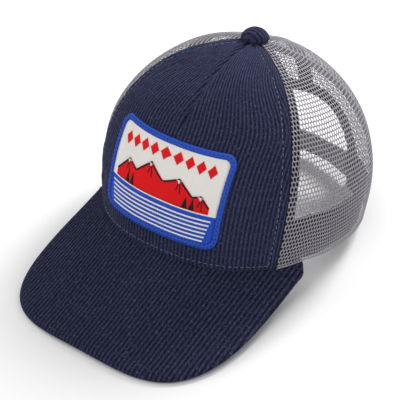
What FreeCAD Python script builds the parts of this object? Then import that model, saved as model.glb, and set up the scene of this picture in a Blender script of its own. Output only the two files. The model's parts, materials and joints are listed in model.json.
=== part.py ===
"""Trucker mesh cap: corduroy front and brim, mesh back, embroidered patch, snap strap.

Worn frame used while modelling: +X wearer's left, -Y front, +Z up, z = 0 at the head opening.
At the end every piece is turned into the resting pose: the cap lies on its brim corners and
its back rim, with the lowest point at z = 0 and the origin under the middle of its box.
All lengths are millimetres.
"""
import FreeCAD, Part
import math
import os

os.makedirs("parts", exist_ok=True)
Vector = FreeCAD.Vector

# ---- driving dimensions: crown ------------------------------------------------------------
HALF_WIDTH = 88.4            # head opening, half across (circumference 585)
HALF_LENGTH = 97.7           # head opening, half front to back
CROWN_HEIGHT = 114.4         # opening plane to the top of the cloth, without the gathered peak
APEX_PEAK = 2.8              # gathered cloth rises this much more under the button
APEX_PEAK_POWER = 60.0       # how tightly that rise keeps to the top centre
APEX_BACK = 3.4              # the top centre sits this far behind the opening's centre
APEX_SHIFT_POWER = 1.5
OPENING_POWER_FRONT = 2.23   # superellipse powers of the opening's plan
OPENING_POWER_BACK = 2.05
DOME_POWER_FRONT = 2.41      # superellipse powers of the crown's profile
DOME_POWER_SIDE = 2.63
DOME_POWER_BACK = 2.33
DOME_POWER_QUARTER = -0.09
BULGE_FRONT = -0.010         # swelling of the profile between rim and top
BULGE_SIDE = 0.076
BULGE_BACK = -0.030
BULGE_QUARTER = -0.050
BACK_RIM_DROP = 5.3          # the back rim hangs below the opening plane
RIM_DROP_START_DEG = 75.0
RIM_DROP_END_DEG = 155.0
FRONT_SEAM_DEG = 52.4        # where the front panel ends at the rim
FRONT_SEAM_BOW_DEG = -1.7
FRONT_SEAM_SWEEP_DEG = 12.7
SIDE_SEAM_DEG = 108.0
APEX_HOLE_RADIUS = 4.0       # the panels stop here, round the button's rivet

# ---- driving dimensions: cloth layers, depth below the outer surface -----------------------
CORDUROY_THICKNESS = 1.3
MESH_THICKNESS = 1.0
BACKING_DEPTH = 1.45
BACKING_THICKNESS = 0.6
FRONT_TAPE_DEPTH = 2.2
MESH_TAPE_DEPTH = 1.3
TAPE_THICKNESS = 0.6
TAPE_WIDTH = 13.0
TAPE_TOP_RADIUS = 8.0         # tapes stop at this distance from the top centre
PAD_DEPTH = 3.2
PAD_THICKNESS = 1.3
SWEATBAND_DEPTH = 4.6
SWEATBAND_THICKNESS = 0.8
SWEATBAND_HEIGHT = 34.0
PANEL_GAP_DEG = 0.12         # half the gap between neighbouring panels

# ---- driving dimensions: brim ---------------------------------------------------------------
BRIM_TAIL_DEG = 65.2
BRIM_HALF_WIDTH = 84.5
BRIM_REACH = 120.1           # from the widest place to the front edge
BRIM_TAIL_RUN = 4.25
BRIM_POWER_X = 3.62
BRIM_POWER_Y = 3.72
BRIM_SLOPE_DEG = 27.0
BRIM_ARCH = 0.00526          # side to side curvature at the crown, 1/mm
BRIM_ARCH_CHANGE = -0.00326
BRIM_LIFT = 2.52             # upward flick at the front edge
BRIM_SCALE_LENGTH = 75.0
BRIM_TOP = 1.2               # top cloth above the brim's reference surface
BRIM_BOTTOM = -2.8
BRIM_BOARD_TOP = 0.2
BRIM_BOARD_BOTTOM = -1.8
BRIM_RIM = 1.7               # cloth outside the board's edge
BRIM_TUCK = 2.2              # brim held under the crown's edge
BRIM_CLEARANCE = 0.06        # between the brim and the crown cloth sewn onto it

# ---- driving dimensions: back opening and strap ----------------------------------------------
ARCH_HALF_WIDTH = 47.0
ARCH_TOP = 54.0
ARCH_POWER = 2.2
BINDING_WIDTH = 8.5
BINDING_LIP = 0.7
STRAP_BOTTOM = 0.5
STRAP_HEIGHT = 18.0
STRAP_THICKNESS = 1.3
STRAP_GAP = 0.35
STRAP_OVERHANG = 16.8        # each strap reaches this far past the middle
STRAP_HOLE_PITCH_DEG = 6.4
STRAP_HOLE_COUNT = 7
STRAP_HOLE_RADIUS = 2.6
PEG_RADIUS = 1.75
PEG_TIP_RADIUS = 1.35
PEG_HEIGHT = 2.4
STRAP_ROOT_LENGTH = 11.0     # sewn inside the crown
STRAP_NECK_START = 3.8       # from the opening's edge to the thick neck before the bend
STRAP_BEND_PLACE = 6.4       # from the opening's edge to the bend line
STRAP_NECK_SETBACK = 0.35
STRAP_BEAD_CLEARANCE = 0.15
ROOT_DEPTH = 2.0
ROOT_THICKNESS = 1.1

# ---- driving dimensions: patch and button -----------------------------------------------------
PATCH_HALF_WIDTH = 46.5
PATCH_HALF_HEIGHT = 31.0
PATCH_CENTRE = 46.3          # above the brim seam, along the front
PATCH_SHIFT = -3.0           # sewn on a little towards the wearer's right
PATCH_TILT_DEG = -1.0        # and not quite level
PATCH_CORNER = 8.5
BORDER_WIDTH = 3.4
PATCH_CLEARANCE = 0.35
HORIZON = -9.0
FIELD_HALF_WIDTH = PATCH_HALF_WIDTH - BORDER_WIDTH - 0.3
HILLS = [(-37.0, -8.0), (-37.0, -3.0), (-26.0, 8.0), (-18.0, 3.5), (-7.0, 13.0), (3.0, 4.5),
         (13.0, 9.5), (24.0, 1.0), (30.0, 3.0), (37.0, -3.5), (37.0, -8.0)]
TREE_PLACES = (-24.0, -19.5, 20.0, 25.0)
STRIPE_COUNT = 6
BUTTON_RADIUS = 9.35
BUTTON_HEIGHT = 8.1
BUTTON_CLOTH = 1.1
BUTTON_METAL = 0.6
RIVET_RADIUS = 1.9
WASHER_RADIUS = 7.0

REST_PITCH_DEG = 7.95        # front raised until brim corners and back rim share one floor

TAIL = math.radians(BRIM_TAIL_DEG)
PARTS = {}


# ---- crown and brim surfaces --------------------------------------------------------------
def signed_power(value, power):
    return math.copysign(abs(value) ** power, value)


def opening_point(phi):
    """Plan of the head opening; phi is measured from the front towards the wearer's left."""
    power = 2.0 / (OPENING_POWER_FRONT if math.cos(phi) > 0 else OPENING_POWER_BACK)
    x = HALF_WIDTH * signed_power(math.sin(phi), power)
    y = -HALF_LENGTH * signed_power(math.cos(phi), power)
    return x, y


def brim_shape(x, y):
    ahead = (-y - HALF_LENGTH) / BRIM_SCALE_LENGTH
    arch = max(BRIM_ARCH + BRIM_ARCH_CHANGE * ahead, 0.0)
    slope = math.tan(math.radians(BRIM_SLOPE_DEG)) * (-y - HALF_LENGTH)
    return BRIM_LIFT * max(ahead, 0.0) ** 2 - arch * x * x / 2.0 - slope


TAIL_POINT = opening_point(TAIL)
BRIM_ZERO = -brim_shape(*TAIL_POINT)


def brim_height(x, y):
    """Reference surface of the brim, zero at its two tails."""
    return brim_shape(x, y) + BRIM_ZERO


def smooth_step(value):
    value = min(max(value, 0.0), 1.0)
    return value * value * (3.0 - 2.0 * value)


def rim_height(phi):
    """Height of the crown's lower edge: on the brim in front, dropped at the back."""
    turn = abs(math.remainder(phi, 2.0 * math.pi))
    lift = (BRIM_TOP + 0.1) * (1.0 - smooth_step((turn - TAIL) / math.radians(12.0)))
    if turn < TAIL:
        return brim_height(*opening_point(phi)) + lift
    span = RIM_DROP_END_DEG - RIM_DROP_START_DEG
    return lift - BACK_RIM_DROP * smooth_step((math.degrees(turn) - RIM_DROP_START_DEG) / span)


def by_direction(phi, front, side, back, quarter):
    share = math.cos(phi) ** 2
    if math.cos(phi) > 0:
        return side + (front - side) * share
    return side + (back - side) * share + quarter * math.sin(2.0 * phi) ** 2


def crown_point(phi, t):
    """Outer surface of the crown: t is 0 at the rim and 1 at the top centre."""
    power = 2.0 / by_direction(phi, DOME_POWER_FRONT, DOME_POWER_SIDE, DOME_POWER_BACK,
                               DOME_POWER_QUARTER)
    bulge = by_direction(phi, BULGE_FRONT, BULGE_SIDE, BULGE_BACK, BULGE_QUARTER)
    angle = t * math.pi / 2.0
    inward = math.cos(angle) ** power
    rise = math.sin(angle) ** power
    inward *= 1.0 + bulge * math.sin(math.pi * rise)
    x, y = opening_point(phi)
    z = rim_height(phi) * (1.0 - rise) + CROWN_HEIGHT * rise + APEX_PEAK * rise ** APEX_PEAK_POWER
    return Vector(x * inward, y * inward + APEX_BACK * rise ** APEX_SHIFT_POWER, z)


def crown_normal(phi, t):
    step = 0.004
    low = max(t - step, 0.0)
    high = min(t + step, 0.999)
    around = crown_point(phi + step, t) - crown_point(phi - step, t)
    upward = crown_point(phi, high) - crown_point(phi, low)
    normal = around.cross(upward)
    normal.normalize()
    return normal


def layer_point(phi, t, depth):
    return crown_point(phi, t) - crown_normal(phi, t) * depth


def t_at_height(height, phi=math.pi):
    """t where the crown at phi is this far above its rim."""
    low, high = 0.0, 0.9
    for _ in range(40):
        middle = (low + high) / 2.0
        if crown_point(phi, middle).z - crown_point(phi, 0.0).z < height:
            low = middle
        else:
            high = middle
    return low


def t_at_radius(radius):
    low, high = 0.5, 1.0
    for _ in range(40):
        middle = (low + high) / 2.0
        point = crown_point(0.0, middle)
        if math.hypot(point.x, point.y - APEX_BACK) > radius:
            low = middle
        else:
            high = middle
    return low


def spaced_rows(t_low, t_high, count):
    """Values of t at even distances along a mid-side profile."""
    samples = 240
    values = [t_low + (t_high - t_low) * i / samples for i in range(samples + 1)]
    points = [crown_point(math.pi / 2.0, t) for t in values]
    travel = [0.0]
    for a, b in zip(points, points[1:]):
        travel.append(travel[-1] + (b - a).Length)
    rows = []
    k = 0
    for i in range(count):
        goal = travel[-1] * i / (count - 1)
        while k < samples - 1 and travel[k + 1] < goal:
            k += 1
        share = (goal - travel[k]) / (travel[k + 1] - travel[k])
        rows.append(values[k] + (values[k + 1] - values[k]) * share)
    return rows


T_TOP = t_at_radius(APEX_HOLE_RADIUS)


# ---- solid builders -------------------------------------------------------------------------
def solid_between(outer_grid, inner_grid):
    """Closed solid between two smooth surfaces given as equal grids of points."""
    surfaces = []
    for grid in (outer_grid, inner_grid):
        surface = Part.BSplineSurface()
        surface.interpolate(grid)
        surfaces.append(surface)
    outer, inner = surfaces
    faces = [outer.toShape(), inner.toShape()]
    u0, u1, v0, v1 = outer.bounds()
    p0, p1, q0, q1 = inner.bounds()
    for a, b in ((u0, p0), (u1, p1)):
        faces.append(Part.makeRuledSurface(outer.uIso(a).toShape(), inner.uIso(b).toShape()))
    for a, b in ((v0, q0), (v1, q1)):
        faces.append(Part.makeRuledSurface(outer.vIso(a).toShape(), inner.vIso(b).toShape()))
    shell = Part.makeShell(faces)
    shell.sewShape(0.002)
    solid = Part.makeSolid(shell.Shells[0] if shell.Shells else shell)
    if solid.Volume < 0:
        solid.reverse()
    return solid


def crown_layer(edge_a, edge_b, depth_out, depth_in, t_low=0.0, t_high=T_TOP, columns=9,
                rows=13, drop=None):
    """Curved plate on the crown between two meridian lines, each a function of t."""
    grids = []
    for depth in (depth_out, depth_in):
        grid = []
        for t in spaced_rows(t_low, t_high, rows):
            row = []
            for i in range(columns):
                share = i / (columns - 1)
                phi = edge_a(t) * (1.0 - share) + edge_b(t) * share
                point = layer_point(phi, t, depth)
                if drop:
                    point.z -= drop(phi) * (1.0 - smooth_step(t / t_high))
                row.append(point)
            grid.append(row)
        grids.append(grid)
    return solid_between(*grids)


def constant(degrees):
    return lambda t: math.radians(degrees)


def front_seam(t, side=1, inset_mm=0.0):
    """The seam between front panel and side mesh, moved towards the front by inset_mm."""
    degrees = (FRONT_SEAM_DEG + FRONT_SEAM_BOW_DEG * math.sin(math.pi * t)
               + FRONT_SEAM_SWEEP_DEG * t)
    return side * (math.radians(degrees) - angle_for(inset_mm, t))


def angle_for(length, t):
    """Angle round the crown that spans this length at t, limited near the top."""
    point = crown_point(math.pi / 2.0, t)
    radius = max(math.hypot(point.x, point.y - APEX_BACK), 1.0)
    return min(length / radius, math.radians(24.0))


def straight_seam(degrees, offset_mm=0.0):
    return lambda t: math.radians(degrees) + angle_for(offset_mm, t)


def closed_spline(points):
    curve = Part.BSplineCurve()
    curve.interpolate(points, PeriodicFlag=True)
    return Part.Wire([curve.toShape()])


def polygon(points):
    return Part.makePolygon(points + [points[0]])


def prism(wire, travel):
    return Part.Face(wire).extrude(travel)


def keep(name, shape):
    """Store a piece under its node name as one solid or a compound of solids."""
    solids = shape.Solids
    if not solids or not all(s.isValid() and s.Volume > 0 for s in solids):
        raise RuntimeError("piece is not a good solid: " + name)
    PARTS[name] = solids[0] if len(solids) == 1 else Part.makeCompound(solids)


# ---- crown panels and tapes -------------------------------------------------------------------
def arch_outline(grow):
    """Half-moon back opening in the X-Z plane, widened by grow, open at the bottom."""
    half_width = ARCH_HALF_WIDTH + grow
    top = ARCH_TOP + grow
    points = []
    for i in range(25):
        angle = math.pi * i / 24.0
        x = half_width * signed_power(math.cos(angle), 2.0 / ARCH_POWER)
        z = top * math.sin(angle) ** (2.0 / ARCH_POWER)
        points.append(Vector(x, 20.0, z))
    curve = Part.BSplineCurve()
    curve.interpolate(points)
    low = -30.0
    right = Vector(-half_width, 20.0, low)
    left = Vector(half_width, 20.0, low)
    return Part.Wire([curve.toShape(), Part.makeLine(points[-1], right),
                      Part.makeLine(right, left), Part.makeLine(left, points[0])])


def arch_prism(grow):
    return prism(arch_outline(grow), Vector(0, 130.0, 0))


def make_panels():
    gap = math.radians(PANEL_GAP_DEG)
    brim = brim_plate(-BRIM_CLEARANCE, BRIM_TOP + BRIM_CLEARANCE, BRIM_BOTTOM - BRIM_CLEARANCE)
    front = crown_layer(lambda t: -front_seam(t) + gap, lambda t: front_seam(t) - gap,
                        0.0, CORDUROY_THICKNESS, columns=15)
    keep("front_panel", front.cut(brim))
    backing_low = t_at_height(1.5, 0.0)
    keep("front_backing", crown_layer(lambda t: front_seam(t, -1, 1.5), lambda t: front_seam(t, 1, 1.5),
                                      BACKING_DEPTH, BACKING_DEPTH + BACKING_THICKNESS,
                                      t_low=backing_low, columns=15))
    opening = arch_prism(0.0)
    for side, word in ((1, "left"), (-1, "right")):
        side_seam = math.radians(SIDE_SEAM_DEG)
        panel = crown_layer(lambda t: side * (front_seam(t) + gap), lambda t: side * (side_seam - gap),
                            0.0, MESH_THICKNESS, columns=17)
        keep("side_mesh_" + word, panel.cut(brim))
        back = crown_layer(lambda t: side * (side_seam + gap), lambda t: side * (math.pi - gap),
                           0.0, MESH_THICKNESS)
        keep("back_mesh_" + word, back.cut(opening))


def make_tapes():
    half = TAPE_WIDTH / 2.0
    t_band = t_at_height(SWEATBAND_HEIGHT - 8.0, math.pi / 2.0)
    t_tip = t_at_radius(TAPE_TOP_RADIUS)
    deep = FRONT_TAPE_DEPTH
    keep("dart_tape", crown_layer(straight_seam(0.0, -half), straight_seam(0.0, half), deep,
                                  deep + TAPE_THICKNESS, t_low=t_at_height(72.0, 0.0),
                                  t_high=t_tip, columns=5, rows=13))
    for side, word in ((1, "left"), (-1, "right")):
        keep("front_seam_tape_" + word,
             crown_layer(lambda t: side * (front_seam(t) - angle_for(half, t)),
                         lambda t: side * (front_seam(t) + angle_for(half, t)),
                         deep, deep + TAPE_THICKNESS, t_low=t_band, t_high=t_tip, columns=5, rows=25))
        keep("side_seam_tape_" + word,
             crown_layer(straight_seam(side * SIDE_SEAM_DEG, -half),
                         straight_seam(side * SIDE_SEAM_DEG, half),
                         MESH_TAPE_DEPTH, MESH_TAPE_DEPTH + TAPE_THICKNESS,
                         t_low=t_band, t_high=t_tip, columns=5, rows=25))
    t_arch = t_at_height(ARCH_TOP + BACK_RIM_DROP + BINDING_WIDTH + 1.0)
    keep("back_seam_tape", crown_layer(straight_seam(180.0, -half), straight_seam(180.0, half),
                                       MESH_TAPE_DEPTH, MESH_TAPE_DEPTH + TAPE_THICKNESS,
                                       t_low=t_arch, t_high=t_tip, columns=5, rows=17))


def make_binding():
    """Tape folded over the edge of the back opening, on both faces of the mesh."""
    t_high = t_at_height(ARCH_TOP + BACK_RIM_DROP + 22.0)
    sweep = 50.0
    wrap = crown_layer(constant(180.0 - sweep), constant(180.0 + sweep), -0.75, 1.9,
                       t_high=t_high, columns=13, rows=11)
    core = crown_layer(constant(176.0 - sweep), constant(184.0 + sweep), -0.12, 1.1,
                       t_high=t_high + 0.03, columns=13, rows=11)
    ring = arch_prism(BINDING_WIDTH).cut(arch_prism(-BINDING_LIP))
    keep("arch_binding", wrap.common(ring).cut(core.cut(arch_prism(-0.05))))


def make_sweatband():
    root_deg = 180.0 - math.degrees(root_angle()) + 1.6
    t_high = t_at_height(SWEATBAND_HEIGHT, math.pi / 2.0)

    def front_drop(phi):
        return 3.0 * smooth_step((math.cos(phi) - 0.42) / 0.25)

    ends = (constant(-180.0 + root_deg), constant(180.0 - root_deg))
    keep("sweatband_pad", crown_layer(*ends, PAD_DEPTH, PAD_DEPTH + PAD_THICKNESS, t_high=t_high,
                                      columns=33, rows=5, drop=front_drop))
    keep("sweatband_face", crown_layer(*ends, SWEATBAND_DEPTH, SWEATBAND_DEPTH + SWEATBAND_THICKNESS,
                                       t_high=t_high, columns=33, rows=5, drop=front_drop))


# ---- brim ---------------------------------------------------------------------------------------
def brim_outline(inset=0.0):
    """Plan of the brim, drawn inset from its edge on every side."""
    x_tail, y_tail = TAIL_POINT
    y_wide = y_tail - BRIM_TAIL_RUN
    quarter = 12
    edge = []
    for i in range(quarter + 1):
        angle = math.pi / 2.0 * i / quarter
        x = (BRIM_HALF_WIDTH - inset) * math.cos(angle) ** (2.0 / BRIM_POWER_X)
        y = y_wide - (BRIM_REACH - inset) * math.sin(angle) ** (2.0 / BRIM_POWER_Y)
        edge.append(Vector(x, y, 0))
    edge = edge + [Vector(-p.x, p.y, 0) for p in reversed(edge[:-1])]
    tuck = 1.0 - (BRIM_TUCK - inset) / HALF_LENGTH
    inner = []
    steps = 24
    reach = TAIL - inset / HALF_LENGTH * 1.5
    for i in range(steps + 1):
        x, y = opening_point(-reach + 2.0 * reach * i / steps)
        inner.append(Vector(x * tuck, y * tuck, 0))
    front = Part.BSplineCurve()
    front.interpolate(edge)
    back = Part.BSplineCurve()
    back.interpolate(inner)
    tail_x = x_tail - 0.6 * inset
    tail_y = y_tail - 1.2 * inset
    left = Vector(tail_x, tail_y, 0)
    right = Vector(-tail_x, tail_y, 0)
    return Part.Wire([front.toShape(), Part.makeLine(edge[-1], right),
                      Part.makeLine(right, inner[0]), back.toShape(),
                      Part.makeLine(inner[-1], left), Part.makeLine(left, edge[0])])


def brim_slab(high, low):
    grids = []
    for level in (high, low):
        grid = []
        for j in range(15):
            y = -178.0 + 148.0 * j / 14.0
            row = []
            for i in range(13):
                x = -92.0 + 184.0 * i / 12.0
                row.append(Vector(x, y, brim_height(x, y) + level))
            grid.append(row)
        grids.append(grid)
    return solid_between(*grids)


def brim_plate(inset, high, low):
    wire = brim_outline(inset)
    wire.translate(Vector(0, 0, -90.0))
    return prism(wire, Vector(0, 0, 160.0)).common(brim_slab(high, low))


def make_brim():
    middle = (BRIM_BOARD_TOP + BRIM_BOARD_BOTTOM) / 2.0
    core = brim_plate(BRIM_RIM, BRIM_BOARD_TOP, BRIM_BOARD_BOTTOM)
    keep("brim_board", brim_plate(BRIM_RIM + 0.15, BRIM_BOARD_TOP - 0.05, BRIM_BOARD_BOTTOM + 0.05))
    keep("brim_top_cover", brim_plate(0.0, BRIM_TOP, middle + 0.02).cut(core))
    keep("brim_under_cover", brim_plate(0.0, middle - 0.02, BRIM_BOTTOM).cut(core))


# ---- patch ----------------------------------------------------------------------------------------
def t_along_front(length):
    step = 0.003
    t = 0.0
    travel = 0.0
    while True:
        stride = (crown_point(0.0, t + step) - crown_point(0.0, t)).Length
        if travel + stride >= length:
            return t + step * (length - travel) / stride
        travel += stride
        t += step


def patch_place(across, up):
    """Direction and height on the crown of a place on the patch."""
    cosine = math.cos(math.radians(PATCH_TILT_DEG))
    sine = math.sin(math.radians(PATCH_TILT_DEG))
    t = t_along_front(PATCH_CENTRE + across * sine + up * cosine)
    point = crown_point(0.35, t)
    sideways = PATCH_SHIFT + across * cosine - up * sine
    return sideways / math.hypot(point.x, point.y) * 1.02, t


def patch_layer(depth_out, depth_in):
    columns = [-PATCH_HALF_WIDTH * 1.12 * (1.0 - i / 6.0) for i in range(13)]
    rows = [-PATCH_HALF_HEIGHT * 1.12 * (1.0 - j / 4.0) for j in range(9)]
    grids = []
    for depth in (depth_out, depth_in):
        grids.append([[layer_point(*patch_place(a, b), depth) for a in columns] for b in rows])
    return solid_between(*grids)


def flat_place(across, up):
    """The same place seen from straight ahead, for cutting outlines."""
    point = crown_point(*patch_place(across, up))
    return Vector(point.x, -140.0, point.z)


def patch_cutter(outline, smooth=False):
    points = [flat_place(a, b) for a, b in outline]
    wire = closed_spline(points) if smooth else polygon(points)
    return prism(wire, Vector(0, 130.0, 0))


def rounded_outline(inset):
    """Rounded rectangle inset from the patch's edge, anticlockwise from the right."""
    radius = PATCH_CORNER - inset
    wide = PATCH_HALF_WIDTH - PATCH_CORNER
    tall = PATCH_HALF_HEIGHT - PATCH_CORNER
    points = []
    for k, (sign_a, sign_b) in enumerate(((1, 1), (-1, 1), (-1, -1), (1, -1))):
        for i in range(7):
            angle = math.radians(90.0 * k + 15.0 * i)
            points.append((sign_a * wide + radius * math.cos(angle),
                           sign_b * tall + radius * math.sin(angle)))
        count = 9 if k % 2 == 0 else 6
        for i in range(1, count):
            share = 1.0 - 2.0 * i / count
            if k % 2 == 0:
                points.append((sign_a * wide * share, sign_b * (tall + radius)))
            else:
                points.append((sign_a * (wide + radius), sign_b * tall * share))
    return points


def make_patch():
    top = -PATCH_CLEARANCE
    inner = patch_cutter(rounded_outline(BORDER_WIDTH), smooth=True)
    whole = patch_cutter(rounded_outline(0.6), smooth=True)
    keep("patch_base", patch_layer(top - 0.7, top).common(whole))
    ring = patch_cutter(rounded_outline(0.0), smooth=True).cut(inner)
    keep("patch_border", patch_layer(top - 2.0, top - 0.75).common(ring))
    field = patch_layer(top - 1.15, top - 0.75)
    inside = patch_cutter(rounded_outline(BORDER_WIDTH + 0.15), smooth=True)
    reach = PATCH_HALF_WIDTH + 2.0
    upper = [(-reach, HORIZON + 0.05), (reach, HORIZON + 0.05), (reach, 34.0), (-reach, 34.0)]
    lower = [(-reach, -34.0), (reach, -34.0), (reach, HORIZON - 0.05), (-reach, HORIZON - 0.05)]
    keep("patch_upper_field", field.common(inside).common(patch_cutter(upper)))
    keep("patch_lower_field", field.common(inside).common(patch_cutter(lower)))
    raised = patch_layer(top - 1.65, top - 1.2)
    keep("patch_hills", raised.common(patch_cutter(HILLS)))
    keep("patch_diamonds", group([raised.common(patch_cutter(diamond(i))) for i in range(9)]))
    keep("patch_stripes", group([raised.common(patch_cutter(stripe(i))) for i in range(STRIPE_COUNT)]))
    trees = patch_layer(top - 2.1, top - 1.7)
    keep("patch_trees", group([trees.common(patch_cutter(tree(a))) for a in TREE_PLACES]))


def group(shapes):
    return Part.makeCompound([solid for shape in shapes for solid in shape.Solids])


def diamond(index):
    """One of nine diamonds in a low arc across the upper field."""
    across = 8.2 * (index - 4)
    up = 21.0 - 0.0022 * across ** 2
    return [(across - 3.5, up), (across, up - 4.3), (across + 3.5, up), (across, up + 4.3)]


def stripe(index):
    up = HORIZON - 3.2 - 2.75 * index
    half = FIELD_HALF_WIDTH - 3.0 - 0.7 * index
    return [(-half, up - 0.55), (half, up - 0.55), (half, up + 0.55), (-half, up + 0.55)]


def tree(across):
    foot = HORIZON + 1.5
    return [(across - 2.1, foot), (across + 2.1, foot), (across, foot + 8.0)]


# ---- button ------------------------------------------------------------------------------------------
def dome(radius, height, base, corner):
    """Ball cap on a low tapered rim, standing on z = base."""
    shoulder = Vector(radius, 0, base + corner)
    rim = Vector(radius - 0.8, 0, base)
    top = Vector(0, 0, base + height)
    rise = height - corner
    ball = (radius ** 2 + rise ** 2) / (2.0 * rise)
    half = radius / 2.0
    middle = Vector(half, 0, base + height - ball + math.sqrt(ball ** 2 - half ** 2))
    arc = Part.Arc(shoulder, middle, top).toShape()
    edges = [Part.makeLine(Vector(0, 0, base), rim), Part.makeLine(rim, shoulder), arc,
             Part.makeLine(top, Vector(0, 0, base))]
    return Part.Face(Part.Wire(edges)).revolve(Vector(), Vector(0, 0, 1), 360)


def make_button():
    top = CROWN_HEIGHT + APEX_PEAK
    seat = top + 0.15
    cloth = dome(BUTTON_RADIUS, BUTTON_HEIGHT, seat, 2.4)
    metal = dome(BUTTON_RADIUS - BUTTON_CLOTH, BUTTON_HEIGHT - BUTTON_CLOTH, seat, 2.0)
    hollow = dome(BUTTON_RADIUS - BUTTON_CLOTH - BUTTON_METAL,
                  BUTTON_HEIGHT - BUTTON_CLOTH - BUTTON_METAL, seat, 1.7)
    pieces = {"button_cover": cloth.cut(metal), "button_shell": metal.cut(hollow)}
    washer_top = top - FRONT_TAPE_DEPTH - TAPE_THICKNESS - 0.4
    head = Part.makeCylinder(4.2, 1.0, Vector(0, 0, seat + 2.2))
    shank = Part.makeCylinder(RIVET_RADIUS, seat + 2.2 - washer_top + 1.6,
                              Vector(0, 0, washer_top - 1.6))
    pieces["button_rivet"] = head.fuse(shank).removeSplitter()
    washer = Part.makeCylinder(WASHER_RADIUS, 0.8, Vector(0, 0, washer_top - 0.8))
    bore = Part.makeCylinder(RIVET_RADIUS, 3.0, Vector(0, 0, washer_top - 2.0))
    pieces["button_washer"] = washer.cut(bore)
    for name, shape in pieces.items():
        shape.translate(Vector(0, APEX_BACK, 0))
        keep(name, shape)


# ---- snap strap -------------------------------------------------------------------------------------
def root_angle():
    """Direction, from the front, of the back opening's edge at strap height."""
    low, high = math.pi / 2.0, math.pi
    t = t_at_height(STRAP_BOTTOM + BACK_RIM_DROP + STRAP_HEIGHT / 2.0)
    for _ in range(40):
        middle = (low + high) / 2.0
        if crown_point(middle, t).x > ARCH_HALF_WIDTH:
            low = middle
        else:
            high = middle
    return low


def strap_circle():
    """Centre and mid radius of the arc that the closed strap follows."""
    t = t_at_height(STRAP_BOTTOM + BACK_RIM_DROP + STRAP_HEIGHT / 2.0)
    root = layer_point(root_angle(), t, 2.0)
    back = layer_point(math.pi, t, 2.0)
    rise = back.y - root.y
    radius = (root.x ** 2 + rise ** 2) / (2.0 * rise)
    return back.y - radius, radius, math.asin(root.x / radius)


STRAP_CENTRE_Y, STRAP_RADIUS, STRAP_ROOT_ANGLE = strap_circle()


def arc_plate(radius_in, radius_out, angle_a, angle_b, bottom, height):
    """Upright curved strip; angles are measured from straight back towards +X."""
    def place(radius, angle):
        return Vector(radius * math.sin(angle), STRAP_CENTRE_Y + radius * math.cos(angle), bottom)

    middle = (angle_a + angle_b) / 2.0
    outer = Part.Arc(place(radius_out, angle_a), place(radius_out, middle), place(radius_out, angle_b))
    inner = Part.Arc(place(radius_in, angle_b), place(radius_in, middle), place(radius_in, angle_a))
    edges = [outer.toShape(), Part.makeLine(place(radius_out, angle_b), place(radius_in, angle_b)),
             inner.toShape(), Part.makeLine(place(radius_in, angle_a), place(radius_out, angle_a))]
    return prism(Part.Wire(edges), Vector(0, 0, height))


def side_outline(x_root, x_tip):
    """Strap seen from behind: full height at the root, rounded at the tip."""
    sign = 1.0 if x_root > x_tip else -1.0
    low = STRAP_BOTTOM
    high = STRAP_BOTTOM + STRAP_HEIGHT
    taper = 1.2
    radius = (high - low) / 2.0 - taper
    centre_x = x_tip + sign * radius
    points = [Vector(x_root + sign * 4.0, 0, low), Vector(x_root - sign * 10.0, 0, low),
              Vector(x_root - sign * 22.0, 0, low + taper), Vector(centre_x, 0, low + taper)]
    mirror = [Vector(p.x, 0, low + high - p.z) for p in points]
    edges = [Part.makeLine(a, b) for a, b in zip(points, points[1:])]
    arc = Part.Arc(points[-1], Vector(x_tip, 0, (low + high) / 2.0), mirror[-1])
    edges.append(arc.toShape())
    edges += [Part.makeLine(b, a) for a, b in reversed(list(zip(mirror, mirror[1:])))]
    edges.append(Part.makeLine(mirror[0], points[0]))
    return prism(Part.Wire(edges), Vector(0, 130.0, 0))


def stud_places(side):
    """Angles of the row of holes or pegs on the strap rooted on this side."""
    first = STRAP_HOLE_PITCH_DEG * 1.5
    return [math.radians(side * (STRAP_HOLE_PITCH_DEG * i - first)) for i in range(STRAP_HOLE_COUNT)]


def radial_cone(radius_a, radius_b, start, length, angle, height):
    base = Vector(start * math.sin(angle), STRAP_CENTRE_Y + start * math.cos(angle), height)
    direction = Vector(math.sin(angle), math.cos(angle), 0)
    if radius_a == radius_b:
        return Part.makeCylinder(radius_a, length, base, direction)
    return Part.makeCone(radius_a, radius_b, length, base, direction)


def bend_angle():
    """Angle of the bend line, where the free strap leaves its sewn root."""
    return STRAP_ROOT_ANGLE - STRAP_BEND_PLACE / STRAP_RADIUS


def strap_mid_radius(side):
    """The strap with holes, rooted at -X, lies outside the strap with pegs."""
    return STRAP_RADIUS - side * (STRAP_GAP + STRAP_THICKNESS) / 2.0


def bend_post(side, radius):
    """Upright cylinder on a strap's bend line."""
    angle = side * bend_angle()
    mid = strap_mid_radius(side)
    base = Vector(mid * math.sin(angle), STRAP_CENTRE_Y + mid * math.cos(angle), STRAP_BOTTOM)
    return Part.makeCylinder(radius, STRAP_HEIGHT, base)


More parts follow.
